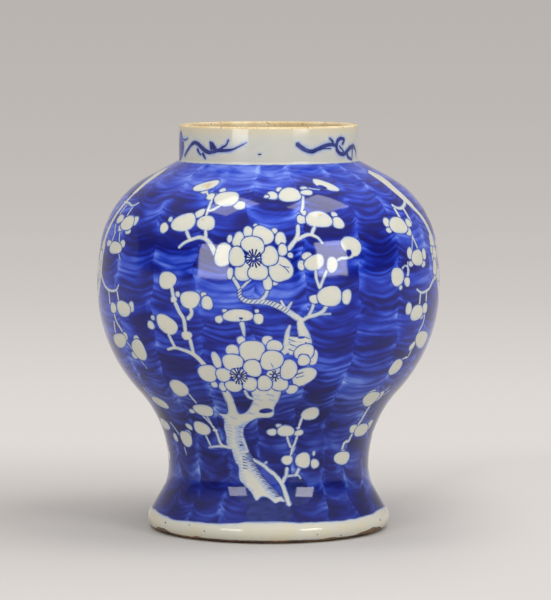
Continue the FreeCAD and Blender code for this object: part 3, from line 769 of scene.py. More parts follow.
def hatching():
    """Short ink strokes along the shaded edge of the trunk, and on the bark beside it."""
    edge = [(-10.6, 54), (-9.2, 51), (-7.8, 48), (-6, 44.6), (-3.8, 41), (-1.4, 37.6), (1.4, 34),
            (4.2, 30.8), (6.6, 27.8)]
    found = []
    for angle, level in smooth(edge, closed=False, steps=4):
        reach = HAND.uniform(2.4, 4.6)
        found.append(([(angle, level), (angle - reach / 1.3, level - 0.5)], 0.8, 0.3))
    column = [(-14.2, level) for level in (44.5, 46.3, 48.1, 49.9, 51.6)]
    found += dashes(column, (0, 0), (2.6, -0.6), 0.7, 0.35)
    upper = [(8.6, 130), (7.8, 126.6), (8.4, 123.4), (8, 120.4), (12.8, 128), (13.4, 124.4)]
    found += dashes(upper, (-1.2, 0.3), (1, -1.2), 0.7, 0.35)
    lower = [(-15.5, 60.5), (-14.5, 63.8), (-15, 67), (-14.2, 70)]
    found += dashes(lower, (1.6, 0), (-0.6, 0.4), 0.5, 0.3)
    return found + [([(-15.3, 58.6), (-13.4, 59)], 1.3, 1.1)]


def shading():
    """Pale strokes on both sides of the trunk, where thin cobalt ran over the white."""
    right = smooth([(-10.6, 54), (-7.8, 48), (-3.8, 41), (1.4, 34), (6.6, 27.8)], closed=False, steps=6)
    left = smooth([(-22.4, 76), (-21.6, 68), (-22, 60), (-19.6, 53), (-17, 45), (-15.6, 37), (-11, 31.4)],
                  closed=False, steps=4)
    found = []
    for angle, level in right:
        reach = HAND.uniform(1.6, 3.4)
        found.append(([(angle - 1, level - 0.2), (angle - 2.4 - reach / 1.2, level - 1)], 0.9, 0.3))
    for angle, level in left:
        reach = HAND.uniform(1.2, 2.6)
        found.append(([(angle + 0.3, level), (angle + 0.5 + reach, level - 0.8)], 0.8, 0.3))
    upper = [(-5.5, 92), (-4.4, 89), (-6, 86), (0.5, 92), (1.5, 88.5), (-8, 79.6), (-17, 76.5)]
    found += dashes(upper, (-1, 0.4), (1.6, -0.8), 0.9, 0.4)
    inner = smooth([(-9.4, 74), (-13.4, 70), (-14.4, 65), (-13.6, 60), (-12.2, 56)], closed=False, steps=4)
    for angle, level in inner:
        reach = HAND.uniform(2.4, 4.4)
        found.append(([(angle, level), (angle - reach, level - 0.9)], 1.0, 0.3))
    return found


def bark_twists():
    """Slanting strokes that wind round the thin branch above the trunk."""
    line = smooth([(6.2, 143.5), (4.5, 145.5), (2, 147.5), (0, 148.8), (-2.5, 149.3), (-5.5, 149.3),
                   (-8, 150.5), (-9.2, 153), (-9.3, 156.5)], closed=False, steps=2)
    return dashes(line, (-0.6, -0.9), (0.5, 0.9), 0.5)


def paint_tree(painting):
    """One side of the vase, from the back of the picture to its front."""
    painting.rocks(WASH, STONES)
    painting.rocks(ROCK, ROCK_SHADOWS + ROCKS)
    painting.reserve([Stroke(*row) for row in EDGE_TWIGS], line=TWIG_LINE_REACH)
    painting.reserve([Stroke(*row) for row in HANGING_TWIGS], line=TWIG_LINE_REACH)
    painting.reserve([Patch(TRUNK_EDGE)] + [Stroke(*row) for row in TREE_LIMBS], rim=TRUNK_RIM_WIDTH)
    for colour, row in TRUNK_HOLLOWS:
        painting.lay(colour, Petal(*row).loop())
    painting.strokes(RIM, shading())
    painting.strokes(LINE, hatching())
    painting.strokes(LINE, bark_twists())
    painting.petals(SIDE_BUDS)
    painting.petals(EDGE_BLOSSOM)
    painting.stamens(*EDGE_HEART)
    painting.petals(SHOULDER_BUDS)
    painting.petals(MIDDLE_BUDS)
    for row in HANGING_TWIGS:
        painting.lay(WHITE, Stroke(*row).loop(-RIM_WIDTH))
    for row in NOTCHES:
        painting.lay(LINE, Petal(*row).loop(NOTCH_LINE))
        painting.lay(GROUND, Petal(*row).loop())
    painting.petals(TOP_BLOSSOM)
    painting.lay(WHITE, Petal(*BEHIND_LOWER_BLOSSOMS).loop())
    painting.petals(LOWER_BLOSSOMS, ink=WASH)
    for heart in HEARTS:
        painting.stamens(*heart)
    painting.strokes(LINE, CREASES)


def paint_meeting():
    """The trunk that stands at each side, between the two trees."""
    painting = Painting()
    painting.rocks(ROCK, ROCKS)
    painting.reserve([Stroke(*row) for row in MEETING_LIMBS])
    painting.strokes(RIM, dashes(MEETING_SHADING, (0, 0), (2.6, -1.4), 0.8, 0.4))
    painting.strokes(LINE, dashes(MEETING_HATCHING, (0, 0), (-3, -0.7), 0.7, 0.35))
    painting.petals(MEETING_BUDS)
    return painting.laid


# How far the brushwork strays on the other side, and how near to the waist and the neck it strays less
LEAN_ASIDE = 1.6
SPREAD_ASIDE = 1.1
STRAY_ALONG = 2.2
NEAR_WAIST = 60.0
NEAR_NECK = 30.0
LEAST_STRAY = 0.15


def strayed(loop):
    """The same brushwork on the other side of the vase, drawn a little differently by hand."""
    angle, far = loop.T
    aside = LEAN_ASIDE * np.sin(far / 26 + 1)
    along = STRAY_ALONG * np.sin(angle / 21 + 0.6)
    along *= np.clip((far - MARKS["waist"]) / NEAR_WAIST, LEAST_STRAY, 1)
    along *= np.clip((MARKS["neck"] - far) / NEAR_NECK, 0, 1)
    return np.stack([angle + SIDE_STEP + aside + SPREAD_ASIDE * np.sin(angle / 19), far + along], -1)


# The bands: their step in degrees, where they end, how much their edges waver and how wide those are
BAND_STEP = 1.5
WHITE_BELOW_NECK = 2.3
BARE_ABOVE_START = 1.5
BLUE_WAVER = 0.32
NECK_WAVER = 0.22
BARE_WAVERS = ((0.22, (17, 41, 67, 89)), (0.12, (5, 11)))
FOOT_LINE = 0.5
FOOT_HAZE = 0.55
FOOT_DIP = 0.5
NECK_LINE = 0.45
NECK_HAZE = 0.7
BARE_RIM = 0.22


def band_loop(angles, edge, start):
    """A belt round the whole vase between a way along the outline and a wavering edge."""
    ends = np.stack([angles[[-1, 0]], [start, start]], -1)
    return np.concatenate([np.stack([angles, edge], -1), ends])


def around(rows, angles):
    """A level given at angles on one side, for angles on either side."""
    side = (angles - DOMAIN_START) % SIDE_STEP + DOMAIN_START
    known, levels = np.array(rows).T
    return np.interp(side, known, levels, period=SIDE_STEP)


def wavering(angles, size, seeds=(3, 7, 13, 29, 47)):
    """A small unevenness that closes on itself round the vase."""
    turn = np.radians(angles)
    waves = [np.sin(seed * turn + 1.7 * seed) / (1 + 0.25 * number) for number, seed in enumerate(seeds)]
    return size * sum(waves) / 2


def paint_bands(painting):
    """The pale edge of the blue, the white foot band, the bare ring and the white of the neck."""
    angles = np.arange(DOMAIN_START, DOMAIN_END + BAND_STEP / 2, BAND_STEP)
    bottom, top = MARKS["foot"], MARKS["lip"]
    blue = far_at(around(BLUE_EDGE, angles)) + wavering(angles, BLUE_WAVER)
    dip = FOOT_DIP * np.exp(-((angles + 1) / 9) ** 2)
    shoulder = MARKS["neck"] - WHITE_BELOW_NECK + wavering(angles, NECK_WAVER)
    bare = np.full_like(angles, bottom + BARE_ABOVE_START)
    for middle, tall, wide in CHIPS:
        away = np.abs((angles - middle + SIDE_STEP) % (2 * SIDE_STEP) - SIDE_STEP)
        bare += tall * np.clip(1 - (away / wide) ** 2, 0, 1)
    for size, seeds in BARE_WAVERS:
        bare += wavering(angles, size, seeds)
    for colour, edge, start in (
        (LINE, blue + FOOT_LINE, bottom),
        (HAZE, blue, bottom),
        (WHITE, blue - FOOT_HAZE - dip, bottom),
        (IRON, bare + BARE_RIM, bottom),
        (BARE, bare, bottom),
        (LINE, shoulder - NECK_LINE, top),
        (HAZE, shoulder, top),
        (WHITE, shoulder + NECK_HAZE, top),
    ):
        painting.lay(colour, band_loop(angles, edge, start))


def paint_vase():
    """All the brushwork, in the order it is laid down."""
    side = Painting()
    paint_tree(side)
    painting = Painting()
    meeting = paint_meeting()
    for turn in MEETING_ANGLES:
        painting.laid += [(colour, loop + [turn, 0.0]) for colour, loop in meeting]
    painting.laid += side.laid + [(colour, strayed(loop)) for colour, loop in side.laid]
    for turn in MEETING_ANGLES:
        painting.lay(WHITE, Petal(turn, *MEETING_HEART).loop())
    paint_bands(painting)
    for turn in (0.0, SIDE_STEP):
        for colour, reach in ((HAZE, HAZE_REACH), (SCROLL, 0.0), (WASH, -NECK_LEAF_EDGE)):
            painting.lay(colour, Patch(NECK_LEAF).loop(reach) + [turn, 0.0])
        painting.lay(SCROLL, Stroke(*NECK_LEAF_VEIN).loop() + [turn, 0.0])
        for colour, reach in ((HAZE, HAZE_REACH), (SCROLL, 0.0)):
            for row in NECK_SCROLLS:
                painting.lay(colour, Stroke(*row).loop(reach) + [turn, 0.0])
    for row in STAINS:
        painting.lay(STAIN, Petal(*row).loop())
    for row in IRON_SPOTS:
        painting.lay(IRON, Petal(*row).loop())
    return painting.laid


# Cutting the painting into the coats

DOMAIN_RADIUS = 92.0
WELD = 1e-4
WELD_CELLS = 5
ROW_CLEARANCE = 0.3
BACK_ROW_CLEARANCE = 0.5
COAT_NAMES = ("foot_glaze", "belly_glaze", "shoulder_glaze", "neck_glaze")

# One unit of the brush map, in degrees and in millimetres; the baking map's margins across and along
BRUSH_COLUMN = 18.0
BRUSH_ROW = 10.0
BAKE_MARGINS = (0.01, 0.02)


def rows_between(start, end, clearance):
    """The outline's own rows between two others, clear of both."""
    return FAR[(FAR > start + clearance) & (FAR < end - clearance)]


def cut_points(rows):
    """Grid points on the rows, every other row half a column on."""
    step = (DOMAIN_END - DOMAIN_START) / COLUMNS
    points = []
    for number, far in enumerate(rows):
        shift = step / 2 if number % 2 else 0.0
        angles = DOMAIN_START + shift + step * np.arange(COLUMNS + (0 if shift else 1))
        if shift:
            angles = np.concatenate([[DOMAIN_START], angles, [DOMAIN_END]])
        points.append(np.stack([angles, np.full_like(angles, far)], -1))
    return np.concatenate(points)


def belt_line(far, columns=COLUMNS):
    angles = np.linspace(DOMAIN_START, DOMAIN_END, columns + 1)
    return np.stack([angles, np.full_like(angles, far)], -1)


def upright_line(angle, fars):
    return np.stack([np.full(len(fars), angle), fars], -1)


def cut(points, lines, loops):
    """Triangles over the points with every line and loop among their edges, as (angles, fars, corners)."""
    scale = np.array([math.radians(1) * DOMAIN_RADIUS, 1.0])
    spots = [points]
    edges = []
    count = len(points)
    for line, closed in [(line, False) for line in lines] + [(loop, True) for loop in loops]:
        numbers = np.arange(count, count + len(line))
        pairs = np.stack([numbers, np.roll(numbers, -1)], -1)
        edges.extend(pairs if closed else pairs[:-1])
        spots.append(line)
        count += len(line)
    spots = [Vector(spot) for spot in np.concatenate(spots) * scale]
    found = delaunay_2d_cdt(spots, [tuple(map(int, edge)) for edge in edges], [], 0, WELD, False)
    places = np.array([tuple(place) for place in found[0]]) / scale
    corners = np.array([tuple(face) for face in found[2]])
    return places[:, 0], places[:, 1], corners


def wound_round(loop, points):
    """Which points a loop goes round."""
    start = loop[None]
    end = np.roll(loop, -1, 0)[None]
    spot = points[:, None]
    side = (end[..., 0] - start[..., 0]) * (spot[..., 1] - start[..., 1]) \
        - (spot[..., 0] - start[..., 0]) * (end[..., 1] - start[..., 1])
    up = (start[..., 1] <= spot[..., 1]) & (end[..., 1] > spot[..., 1]) & (side > 0)
    down = (start[..., 1] > spot[..., 1]) & (end[..., 1] <= spot[..., 1]) & (side < 0)
    return up.sum(1) != down.sum(1)


def colours_of(middles, laid, ground):
    """The colour of the last patch laid over each triangle's middle."""
    found = ground.copy()
    for colour, loop in laid:
        low, high = loop.min(0), loop.max(0)
        near = np.nonzero(np.all((middles > low) & (middles < high), axis=1))[0]
        if len(near):
            found[near[wound_round(loop, middles[near])]] = colour
    return found


def placed(name, data):
    """An object that holds the mesh, lamp or camera, in the scene."""
    piece = bpy.data.objects.new(name, data)
    bpy.context.scene.collection.objects.link(piece)
    return piece


def new_piece(name, vertices, faces, materials=()):
    mesh = bpy.data.meshes.new(name)
    mesh.from_pydata(vertices, [], faces)
    for material in materials:
        mesh.materials.append(material)
    return placed(name, mesh)


def set_uv(mesh, name, values):
    layer = mesh.uv_layers.new(name=name)
    layer.data.foreach_set("uv", np.asarray(values, np.float32).ravel())


def rim_strip(angles, fars, edge, under, flip):
    """The triangles that join a coat's face to its back along one edge."""
    belt = np.nonzero(np.abs(fars - edge) < WELD)[0]
    belt = belt[np.argsort(angles[belt])]
    low, high = belt[:-1], belt[1:]
    strip = np.concatenate([
        np.stack([low, low + under, high], -1),
        np.stack([high, low + under, high + under], -1),
    ])
    return strip[:, ::-1] if flip else strip


def weld(places, triangles):
    """The first point of each weld, the triangles' welded corners, and which triangles are sound."""
    cells = np.round(places / MM / WELD / WELD_CELLS).astype(np.int64)
    _, first, same = np.unique(cells, axis=0, return_index=True, return_inverse=True)
    welded = same.ravel()[triangles]
    a, b, c = welded.T
    return first, welded, (a != b) & (b != c) & (a != c)


def lay_maps(mesh, angles, fars, start, end, shown):
    """The brush map and the baking map, which has one half for each side of the vase."""
    set_uv(mesh, "brush", np.stack([angles / BRUSH_COLUMN, fars / BRUSH_ROW], -1).reshape(-1, 2))
    second = (angles.mean(1) > DOMAIN_START + SIDE_STEP)[:, None]
    beside, under = BAKE_MARGINS
    across = (angles - DOMAIN_START - SIDE_STEP * second) / SIDE_STEP * (1 - 2 * beside) + beside
    along = (np.clip((fars - start) / (end - start), 0, 1) * (1 - 2 * under) + under + second) / 2
    across[shown:] = 0.0
    along[shown:] = 0.0
    set_uv(mesh, "OFBake", np.stack([across, along], -1).reshape(-1, 2))


def coat_piece(name, start, end, sheet, inner, materials):
    """One closed coat: its painted face, its back in the clay and the rims that join them."""
    angles, fars, corners, colours = sheet
    back_angles, back_fars, back_corners = inner
    middle = fars[corners].mean(1)
    chosen = (middle > start) & (middle < end)
    face = corners[chosen]
    front = len(angles)
    under = front + len(back_angles)
    angles = np.concatenate([angles, back_angles, angles])
    fars = np.concatenate([fars, back_fars, fars])
    lifts = np.full(len(angles), COAT_ROOT)
    lifts[:front] = COAT_LIFT
    places, ways = on_outside(angles, fars, lifts)
    ways[front:] *= -1
    triangles = np.concatenate([
        face,
        rim_strip(angles[:front], fars[:front], start, under, flip=False),
        rim_strip(angles[:front], fars[:front], end, under, flip=True),
        back_corners[:, ::-1] + front,
    ])
    tags = np.full(len(triangles), WHITE)
    tags[:len(face)] = colours[chosen]
    inset = np.ones(len(angles))
    inset[np.unique(corners[colours != WHITE])] = 0.0
    first, welded, sound = weld(places, triangles)
    used, packed = np.unique(welded[sound], return_inverse=True)
    kept = first[used]
    piece = new_piece(name, places[kept].tolist(), packed.reshape(-1, 3).tolist(), materials)
    mesh = piece.data
    mesh.polygons.foreach_set("material_index", tags[sound].astype(np.int32))
    mesh.shade_smooth()
    shown = np.count_nonzero(sound[:len(face)])
    lay_maps(mesh, angles[triangles[sound]], fars[triangles[sound]], start, end, shown)
    mesh.attributes.new("inset", "FLOAT", "POINT").data.foreach_set("value", inset[kept])
    mesh.normals_split_custom_set_from_vertices(ways[kept].tolist())
    mesh.update()
    return piece


def painted_coats(materials):
    """The four outer coats, cut from one sheet so that they meet point to point."""
    start, end = MARKS["foot"], MARKS["lip"] + GLAZE_OVER_LIP
    borders = [start, MARKS["waist"], MARKS["girth"], MARKS["neck"], end]
    rows = rows_between(start, end, ROW_CLEARANCE)
    lines = [belt_line(far) for far in borders]
    lines += [upright_line(angle, np.concatenate([[start], rows, [end]])) for angle in MEETING_ANGLES]
    low, high = (DOMAIN_START, start), (DOMAIN_END, end)
    laid = [(colour, np.clip(loop, low, high)) for colour, loop in paint_vase()]
    angles, fars, corners = cut(cut_points(rows), lines, [loop for _, loop in laid])
    middles = np.stack([angles[corners].mean(1), fars[corners].mean(1)], -1)
    colours = colours_of(middles, laid, np.where(middles[:, 1] > MARKS["neck"], WHITE, GROUND))
    pieces = []
    for name, low, high in zip(COAT_NAMES, borders, borders[1:]):
        belts = []
        for far in (low, high):
            belt = np.sort(angles[np.abs(fars - far) < WELD])
            belts.append(np.stack([belt, np.full_like(belt, far)], -1))
        rows = rows_between(low, high, BACK_ROW_CLEARANCE)
        grid = np.concatenate([belt_line(far, COARSE_COLUMNS) for far in rows])
        uprights = np.concatenate([[low], rows, [high]])
        sides = [upright_line(angle, uprights) for angle in (DOMAIN_START, DOMAIN_END)]
        inner = cut(grid, belts + sides, [])
        pieces.append(coat_piece(name, low, high, (angles, fars, corners, colours), inner, materials))
    return pieces


# Node trees, and the plain pieces that they make

def new_tree(name, inputs, output):
    """An empty node tree with named inputs, each of its kind, those inputs' sockets and its last node."""
    tree = bpy.data.node_groups.new(name, "GeometryNodeTree")
    for label, kind in inputs:
        tree.interface.new_socket(label, in_out="INPUT", socket_type="NodeSocket" + kind)
    tree.interface.new_socket(output, in_out="OUTPUT", socket_type="NodeSocketGeometry")
    return tree, tree.nodes.new("NodeGroupInput").outputs, tree.nodes.new("NodeGroupOutput")


def end_tree(tree, shape, material, result):
    """Smooth faces, instances made real and the finish, in that order."""
    shade = tree.nodes.new("GeometryNodeSetShadeSmooth")
    real = tree.nodes.new("GeometryNodeRealizeInstances")
    finish = tree.nodes.new("GeometryNodeSetMaterial")
    tree.links.new(material, finish.inputs["Material"])
    for node in (shade, real, finish):
        tree.links.new(shape, node.inputs["Geometry"])
        shape = node.outputs["Geometry"]
    tree.links.new(shape, result.inputs[0])


def grown(name, holder, tree, settings):
    """A plain piece that the tree makes from a holder, which is removed with its modifier.

    The settings go by the inputs' names, and are set on the modifier by their identifiers.
    """
    modifier = holder.modifiers.new("grow", "NODES")
    modifier.node_group = tree
    for item in tree.interface.items_tree:
        if item.in_out == "INPUT" and item.name in settings:
            modifier[item.identifier] = settings[item.name]
    graph = bpy.context.evaluated_depsgraph_get()
    made = holder.evaluated_get(graph)
    mesh = bpy.data.meshes.new_from_object(made, preserve_all_data_layers=True, depsgraph=graph)
    bpy.data.objects.remove(holder)
    mesh.name = name
    return placed(name, mesh)


# Coats that are spun: the same all round

WHEEL_RADIUS = 0.05
POLE_GAP = 1e-6


def spinning_tree():
    """Spins the closed section that an object holds round the vase's axis.

    The section lies flat, with x the way out from the wheel's radius and y the way down.
    """
    tree, given, result = new_tree("spun_coat", (
        ("Section", "Geometry"), ("Wheel radius", "Float"), ("Columns", "Int"), ("Finish", "Material"),
    ), "Coat")
    section = tree.nodes.new("GeometryNodeMeshToCurve")
    wheel = tree.nodes.new("GeometryNodeCurvePrimitiveCircle")
    spin = tree.nodes.new("GeometryNodeCurveToMesh")
    poles = tree.nodes.new("GeometryNodeMergeByDistance")
    poles.inputs["Distance"].default_value = POLE_GAP
    for source, socket in (
        (given["Section"], section.inputs["Mesh"]),
        (given["Wheel radius"], wheel.inputs["Radius"]),
        (given["Columns"], wheel.inputs["Resolution"]),
        (wheel.outputs["Curve"], spin.inputs["Curve"]),
        (section.outputs["Curve"], spin.inputs["Profile Curve"]),
        (spin.outputs["Mesh"], poles.inputs["Geometry"]),
    ):
        tree.links.new(source, socket)
    end_tree(tree, poles.outputs["Geometry"], given["Finish"], result)
    return tree


def volume_of(mesh):
    """Six times the volume inside a mesh, below zero where its faces point inwards."""
    mesh.calc_loop_triangles()
    spots = [[mesh.vertices[number].co for number in face.vertices] for face in mesh.loop_triangles]
    return sum(a.dot(b.cross(c)) for a, b, c in spots)


def spun_coat(name, tree, stations, lift, columns, material):
    """A closed coat over a stretch of an outline, from its root in the clay to lift above it."""
    _, radii, levels, headings = np.array(stations).T
    out = np.sin(np.radians(headings))
    up = -np.cos(np.radians(headings))
    over, under = ([radii + out * reach, levels + up * reach] for reach in (lift, COAT_ROOT))
    section = np.concatenate([np.stack(over, -1), np.stack(under, -1)[::-1]])
    points = []
    for radius, level in section:
        point = (max(radius, 0.0) * MM - WHEEL_RADIUS, -level * MM, 0.0)
        if not points or math.dist(point, points[-1]) > POLE_GAP:
            points.append(point)
    mesh = bpy.data.meshes.new(name)
    mesh.from_pydata(points, [(n, (n + 1) % len(points)) for n in range(len(points))], [])
    settings = {"Wheel radius": WHEEL_RADIUS, "Columns": columns, "Finish": material}
    piece = grown(name, placed(name + "_section", mesh), tree, settings)
    if volume_of(piece.data) < 0:
        piece.data.flip_normals()
    return piece


# Finishes

def linear(red, green, blue):
    """A colour written as it looks on a screen, 0 to 255, as the shaders take it."""
    def channel(value):
        value /= 255
        return value / 12.92 if value <= 0.04045 else ((value + 0.055) / 1.055) ** 2.4
    return (channel(red), channel(green), channel(blue), 1.0)


GLAZE_ROUGHNESS = 0.07
GLAZE_IOR = 1.46
GLAZE_RIPPLE = 0.00006
CLAY_ROUGHNESS = 0.62
CLAY_GRAIN = 0.00012
PAPER_ROUGHNESS = 0.9
PAPER_IOR = 1.0


def fill_ramp(node, stops):
    """Gives a colour ramp its stops, as places and colours."""
    elements = node.color_ramp.elements
    while len(elements) < len(stops):
        elements.new(0.5)
    for element, (place, colour) in zip(elements, stops):
        element.position = place
        element.color = colour


class Finish:
    """A material's nodes, with short calls for the ones that are used here."""

    def __init__(self, name, roughness=GLAZE_ROUGHNESS, ior=GLAZE_IOR):
        self.material = bpy.data.materials.new(name)
        self.material.use_nodes = True
        self.nodes = self.material.node_tree.nodes
        self.links = self.material.node_tree.links
        self.shader = self.nodes["Principled BSDF"]
        self.shader.inputs["Roughness"].default_value = roughness
        self.shader.inputs["IOR"].default_value = ior

    def feed(self, socket, value):
        if isinstance(value, bpy.types.NodeSocket):
            self.links.new(value, socket)
        elif value is not None:
            socket.default_value = value

    def place(self):
        return self.nodes.new("ShaderNodeTexCoord").outputs["Object"]

    def brush_map(self):
        node = self.nodes.new("ShaderNodeUVMap")
        node.uv_map = "brush"
        return node.outputs["UV"]

    def attribute(self, name):
        node = self.nodes.new("ShaderNodeAttribute")
        node.attribute_name = name
        return node.outputs["Fac"]

    def split(self, vector):
        node = self.nodes.new("ShaderNodeSeparateXYZ")
        self.links.new(vector, node.inputs[0])
        return node.outputs[0], node.outputs[1], node.outputs[2]

    def join(self, x, y, z=0.0):
        node = self.nodes.new("ShaderNodeCombineXYZ")
        for socket, value in zip(node.inputs, (x, y, z)):
            self.feed(socket, value)
        return node.outputs[0]

    def math(self, kind, a, b=None, c=None):
        node = self.nodes.new("ShaderNodeMath")
        node.operation = kind
        for socket, value in zip(node.inputs, (a, b, c)):
            self.feed(socket, value)
        return node.outputs[0]

    def stretched(self, x, x_scale, y, y_scale):
        """A point of a chart, with each of its coordinates stretched."""
        return self.join(self.math("MULTIPLY", x, x_scale), self.math("MULTIPLY", y, y_scale))

    def swayed(self, value, by, share):
        """The value with that share of how far another lies from its middle added."""
        return self.math("MULTIPLY_ADD", self.math("SUBTRACT", by, 0.5), share, value)

    def noise(self, vector, scale, detail=2.0, rough=0.5, twist=0.0):
        node = self.nodes.new("ShaderNodeTexNoise")
        self.links.new(vector, node.inputs["Vector"])
        node.inputs["Scale"].default_value = scale
        node.inputs["Detail"].default_value = detail
        node.inputs["Roughness"].default_value = rough
        node.inputs["Distortion"].default_value = twist
        return node.outputs["Fac"]

    def between(self, value, low, high, to_low=0.0, to_high=1.0):
        """A smooth step from one result to another, while the value goes from low to high."""
        node = self.nodes.new("ShaderNodeMapRange")
        node.interpolation_type = "SMOOTHSTEP"
        for socket, item in zip(node.inputs, (value, low, high, to_low, to_high)):
            self.feed(socket, item)
        return node.outputs[0]

    def ramp(self, value, stops):
        node = self.nodes.new("ShaderNodeValToRGB")
        self.links.new(value, node.inputs[0])
        fill_ramp(node, [(place, linear(*colour)) for place, colour in stops])
        return node.outputs[0]

    def mix(self, share, first, second):
        node = self.nodes.new("ShaderNodeMix")
        node.data_type = "RGBA"
        self.feed(node.inputs[0], share)
        self.feed(node.inputs[6], first)
        self.feed(node.inputs[7], second)
        return node.outputs[2]

    def bump(self, height, distance):
        node = self.nodes.new("ShaderNodeBump")
        node.inputs["Strength"].default_value = 1.0
        node.inputs["Distance"].default_value = distance
        self.links.new(height, node.inputs["Height"])
        self.links.new(node.outputs[0], self.shader.inputs["Normal"])

    def colour(self, socket):
        self.links.new(socket, self.shader.inputs["Base Color"])


def glaze_surface(finish):
    """The slow ripple of a thick glaze, with a finer one over it."""
    place = finish.place()
    slow = finish.noise(place, 90.0, 2.0, 0.45)
    fine = finish.noise(place, 420.0, 1.0)
    finish.bump(finish.math("MULTIPLY_ADD", fine, 0.12, slow), GLAZE_RIPPLE)


# Ways along the outline, in centimetres, over which the ground's look changes; the shoulder's paling is a
# painted sheen of the bright ceiling, and the darkening towards the waist and the change from lower to upper
# blues are partly painted shade low down and painted light higher up, and partly a deeper cobalt below
# Painted shade, with a deeper cobalt, towards the waist
WAIST_DEEPER_AND_SHADED = (3.0, 12.0)
WAIST_EVENS_OUT = (3.0, 11.0)
# From the lower blues to the upper: partly painted light from above, partly a paler cobalt
DEEP_SHADED_TO_PALE_LIT = (8.0, 15.0)
HAIRS_FADE = (19.0, 24.0)
STROKES_FADE = (22.0, 25.5)
# Painted sheen of the bright ceiling on the top of the shoulder
SHOULDER_PAINTED_SHEEN = (23.0, 25.8)

# How many strokes lie above one another in a centimetre, and how far a stroke hangs down
STROKES = 2.05
HANGING = (0.9, 2.2)

# The cobalt from its deepest pools to where it ran thinnest, below and above; the blues above are lighter
# partly as painted light from above and partly as a paler cobalt
DEPTHS = (0.14, 0.29, 0.41, 0.53, 0.68, 0.84, 1.0)
LOWER_DEEPER_SHADED_BLUES = (
    (0, 4, 84), (4, 16, 110), (18, 38, 138), (40, 64, 164), (70, 96, 188), (104, 132, 208), (142, 166, 226),
)
UPPER_PALER_LIT_BLUES = (
    (0, 4, 98), (0, 16, 124), (12, 38, 158), (30, 62, 188), (66, 94, 208), (104, 130, 222), (140, 166, 232),
)


def cobalt_ground():
    """Cobalt brushed on in upright columns of curved strokes, one above the other, with a painted sheen at
    the shoulder and painted shade low down.
    """
    finish = Finish("cobalt_ground")
    across, along, _ = finish.split(finish.brush_map())
    chart = finish.join(across, along)

    # Columns as wide as the brush was swung, with wandering borders
    sway = finish.noise(finish.stretched(across, 0.8, along, 0.3), 1.0)
    shifted = finish.swayed(finish.math("ADD", across, 0.31), sway, 0.7)
    column = finish.math("FLOOR", shifted)
    offside = finish.math("SUBTRACT", finish.math("SUBTRACT", shifted, column), 0.5)

    # Each stroke hangs down in the middle of its column
    swing = finish.noise(finish.stretched(column, 3.7, along, 0.35), 1.0)
    hanging = finish.between(swing, 0.35, 0.65, *HANGING)
    bow = finish.math("MULTIPLY", finish.math("MULTIPLY", offside, offside), hanging)
    level = finish.math("SUBTRACT", along, bow)
    own = finish.math("MULTIPLY_ADD", column, 5.3, offside)
    ragged = finish.noise(finish.stretched(own, 0.5, level, 0.6), 1.7, 2.0, 0.5, 0.3)
    uneven = finish.math("SINE", finish.math("MULTIPLY", column, 2.3))
    start = finish.math("MULTIPLY_ADD", uneven, 0.5, ragged)
    phase = finish.math("MULTIPLY_ADD", start, 2.4, finish.math("MULTIPLY", level, STROKES))
    dab = finish.math("FRACT", phase)
    stroke = finish.math("SUBTRACT", finish.between(dab, 0.0, 0.5), finish.between(dab, 0.62, 1.0))
    stroke = finish.math("MULTIPLY", stroke, finish.between(finish.noise(chart, 0.9, 1.0), 0.3, 0.54))
    stroke = finish.math("MULTIPLY", stroke, finish.between(along, *STROKES_FADE, 1.0, 0.45))
    hairs = finish.noise(finish.stretched(own, 0.9, level, 4.2), 1.4, 2.0, 0.5, 0.4)

    # Where the cobalt pooled or ran thin, with a painted sheen on the shoulder, and painted shade towards
    # the waist and painted light on the upper blues, these two partly the cobalt's own depth
    aside = finish.math("MULTIPLY_ADD", column, 2.1, offside)
    spot = finish.join(aside, finish.math("MULTIPLY", level, 0.9))
    pooled = finish.noise(spot, 0.8, 3.0, 0.48, 0.6)
    wide = finish.noise(chart, 0.33, 1.0)
    broken = finish.between(finish.noise(chart, 1.1, 3.0, 0.6), 0.4, 0.66)
    border = finish.math("MULTIPLY", finish.between(finish.math("ABSOLUTE", offside), 0.3, 0.5), broken)

    tone = finish.swayed(0.43, pooled, 1.3)
    tone = finish.swayed(tone, wide, -0.6)
    tone = finish.swayed(tone, hairs, finish.between(along, *HAIRS_FADE, 0.17, 0.13))
    tone = finish.swayed(tone, stroke, finish.between(along, *WAIST_EVENS_OUT, 0.1, 0.22))
    tone = finish.math("MULTIPLY_ADD", border, 0.3, tone)
    # A painted sheen of the ceiling lightens the top of the shoulder; painted shade, with a deeper cobalt,
    # darkens the blue towards the waist
    tone = finish.math("ADD", tone, finish.between(along, *SHOULDER_PAINTED_SHEEN, -0.02, 0.2))
    tone = finish.math("ADD", tone, finish.between(along, *WAIST_DEEPER_AND_SHADED, -0.09, 0.0))
    # The upper blues are lighter partly as painted light from above, the lower darker partly as painted
    # shade
    low, high = (finish.ramp(tone, list(zip(DEPTHS, blues))) for blues in (LOWER_DEEPER_SHADED_BLUES, UPPER_PALER_LIT_BLUES))
    finish.colour(finish.mix(finish.between(along, *DEEP_SHADED_TO_PALE_LIT), low, high))
    glaze_surface(finish)
    return finish.material


def brush_finish(name, dark, light, scale=2.6):
    """Cobalt laid in lines: darker where the brush pooled."""
    finish = Finish(name)
    pooled = finish.noise(finish.brush_map(), scale, 3.0, 0.6, 0.5)
    finish.colour(finish.ramp(pooled, [(0.34, dark), (0.68, light)]))
    glaze_surface(finish)
    return finish.material


# Levels in metres between which the neck is brighter, its top warmer, and the foot stained
NECK_ROOT = (0.226, 0.222)
BELOW_LIP = (0.2425, 0.2495)
ABOVE_RING = (0.016, 0.004)


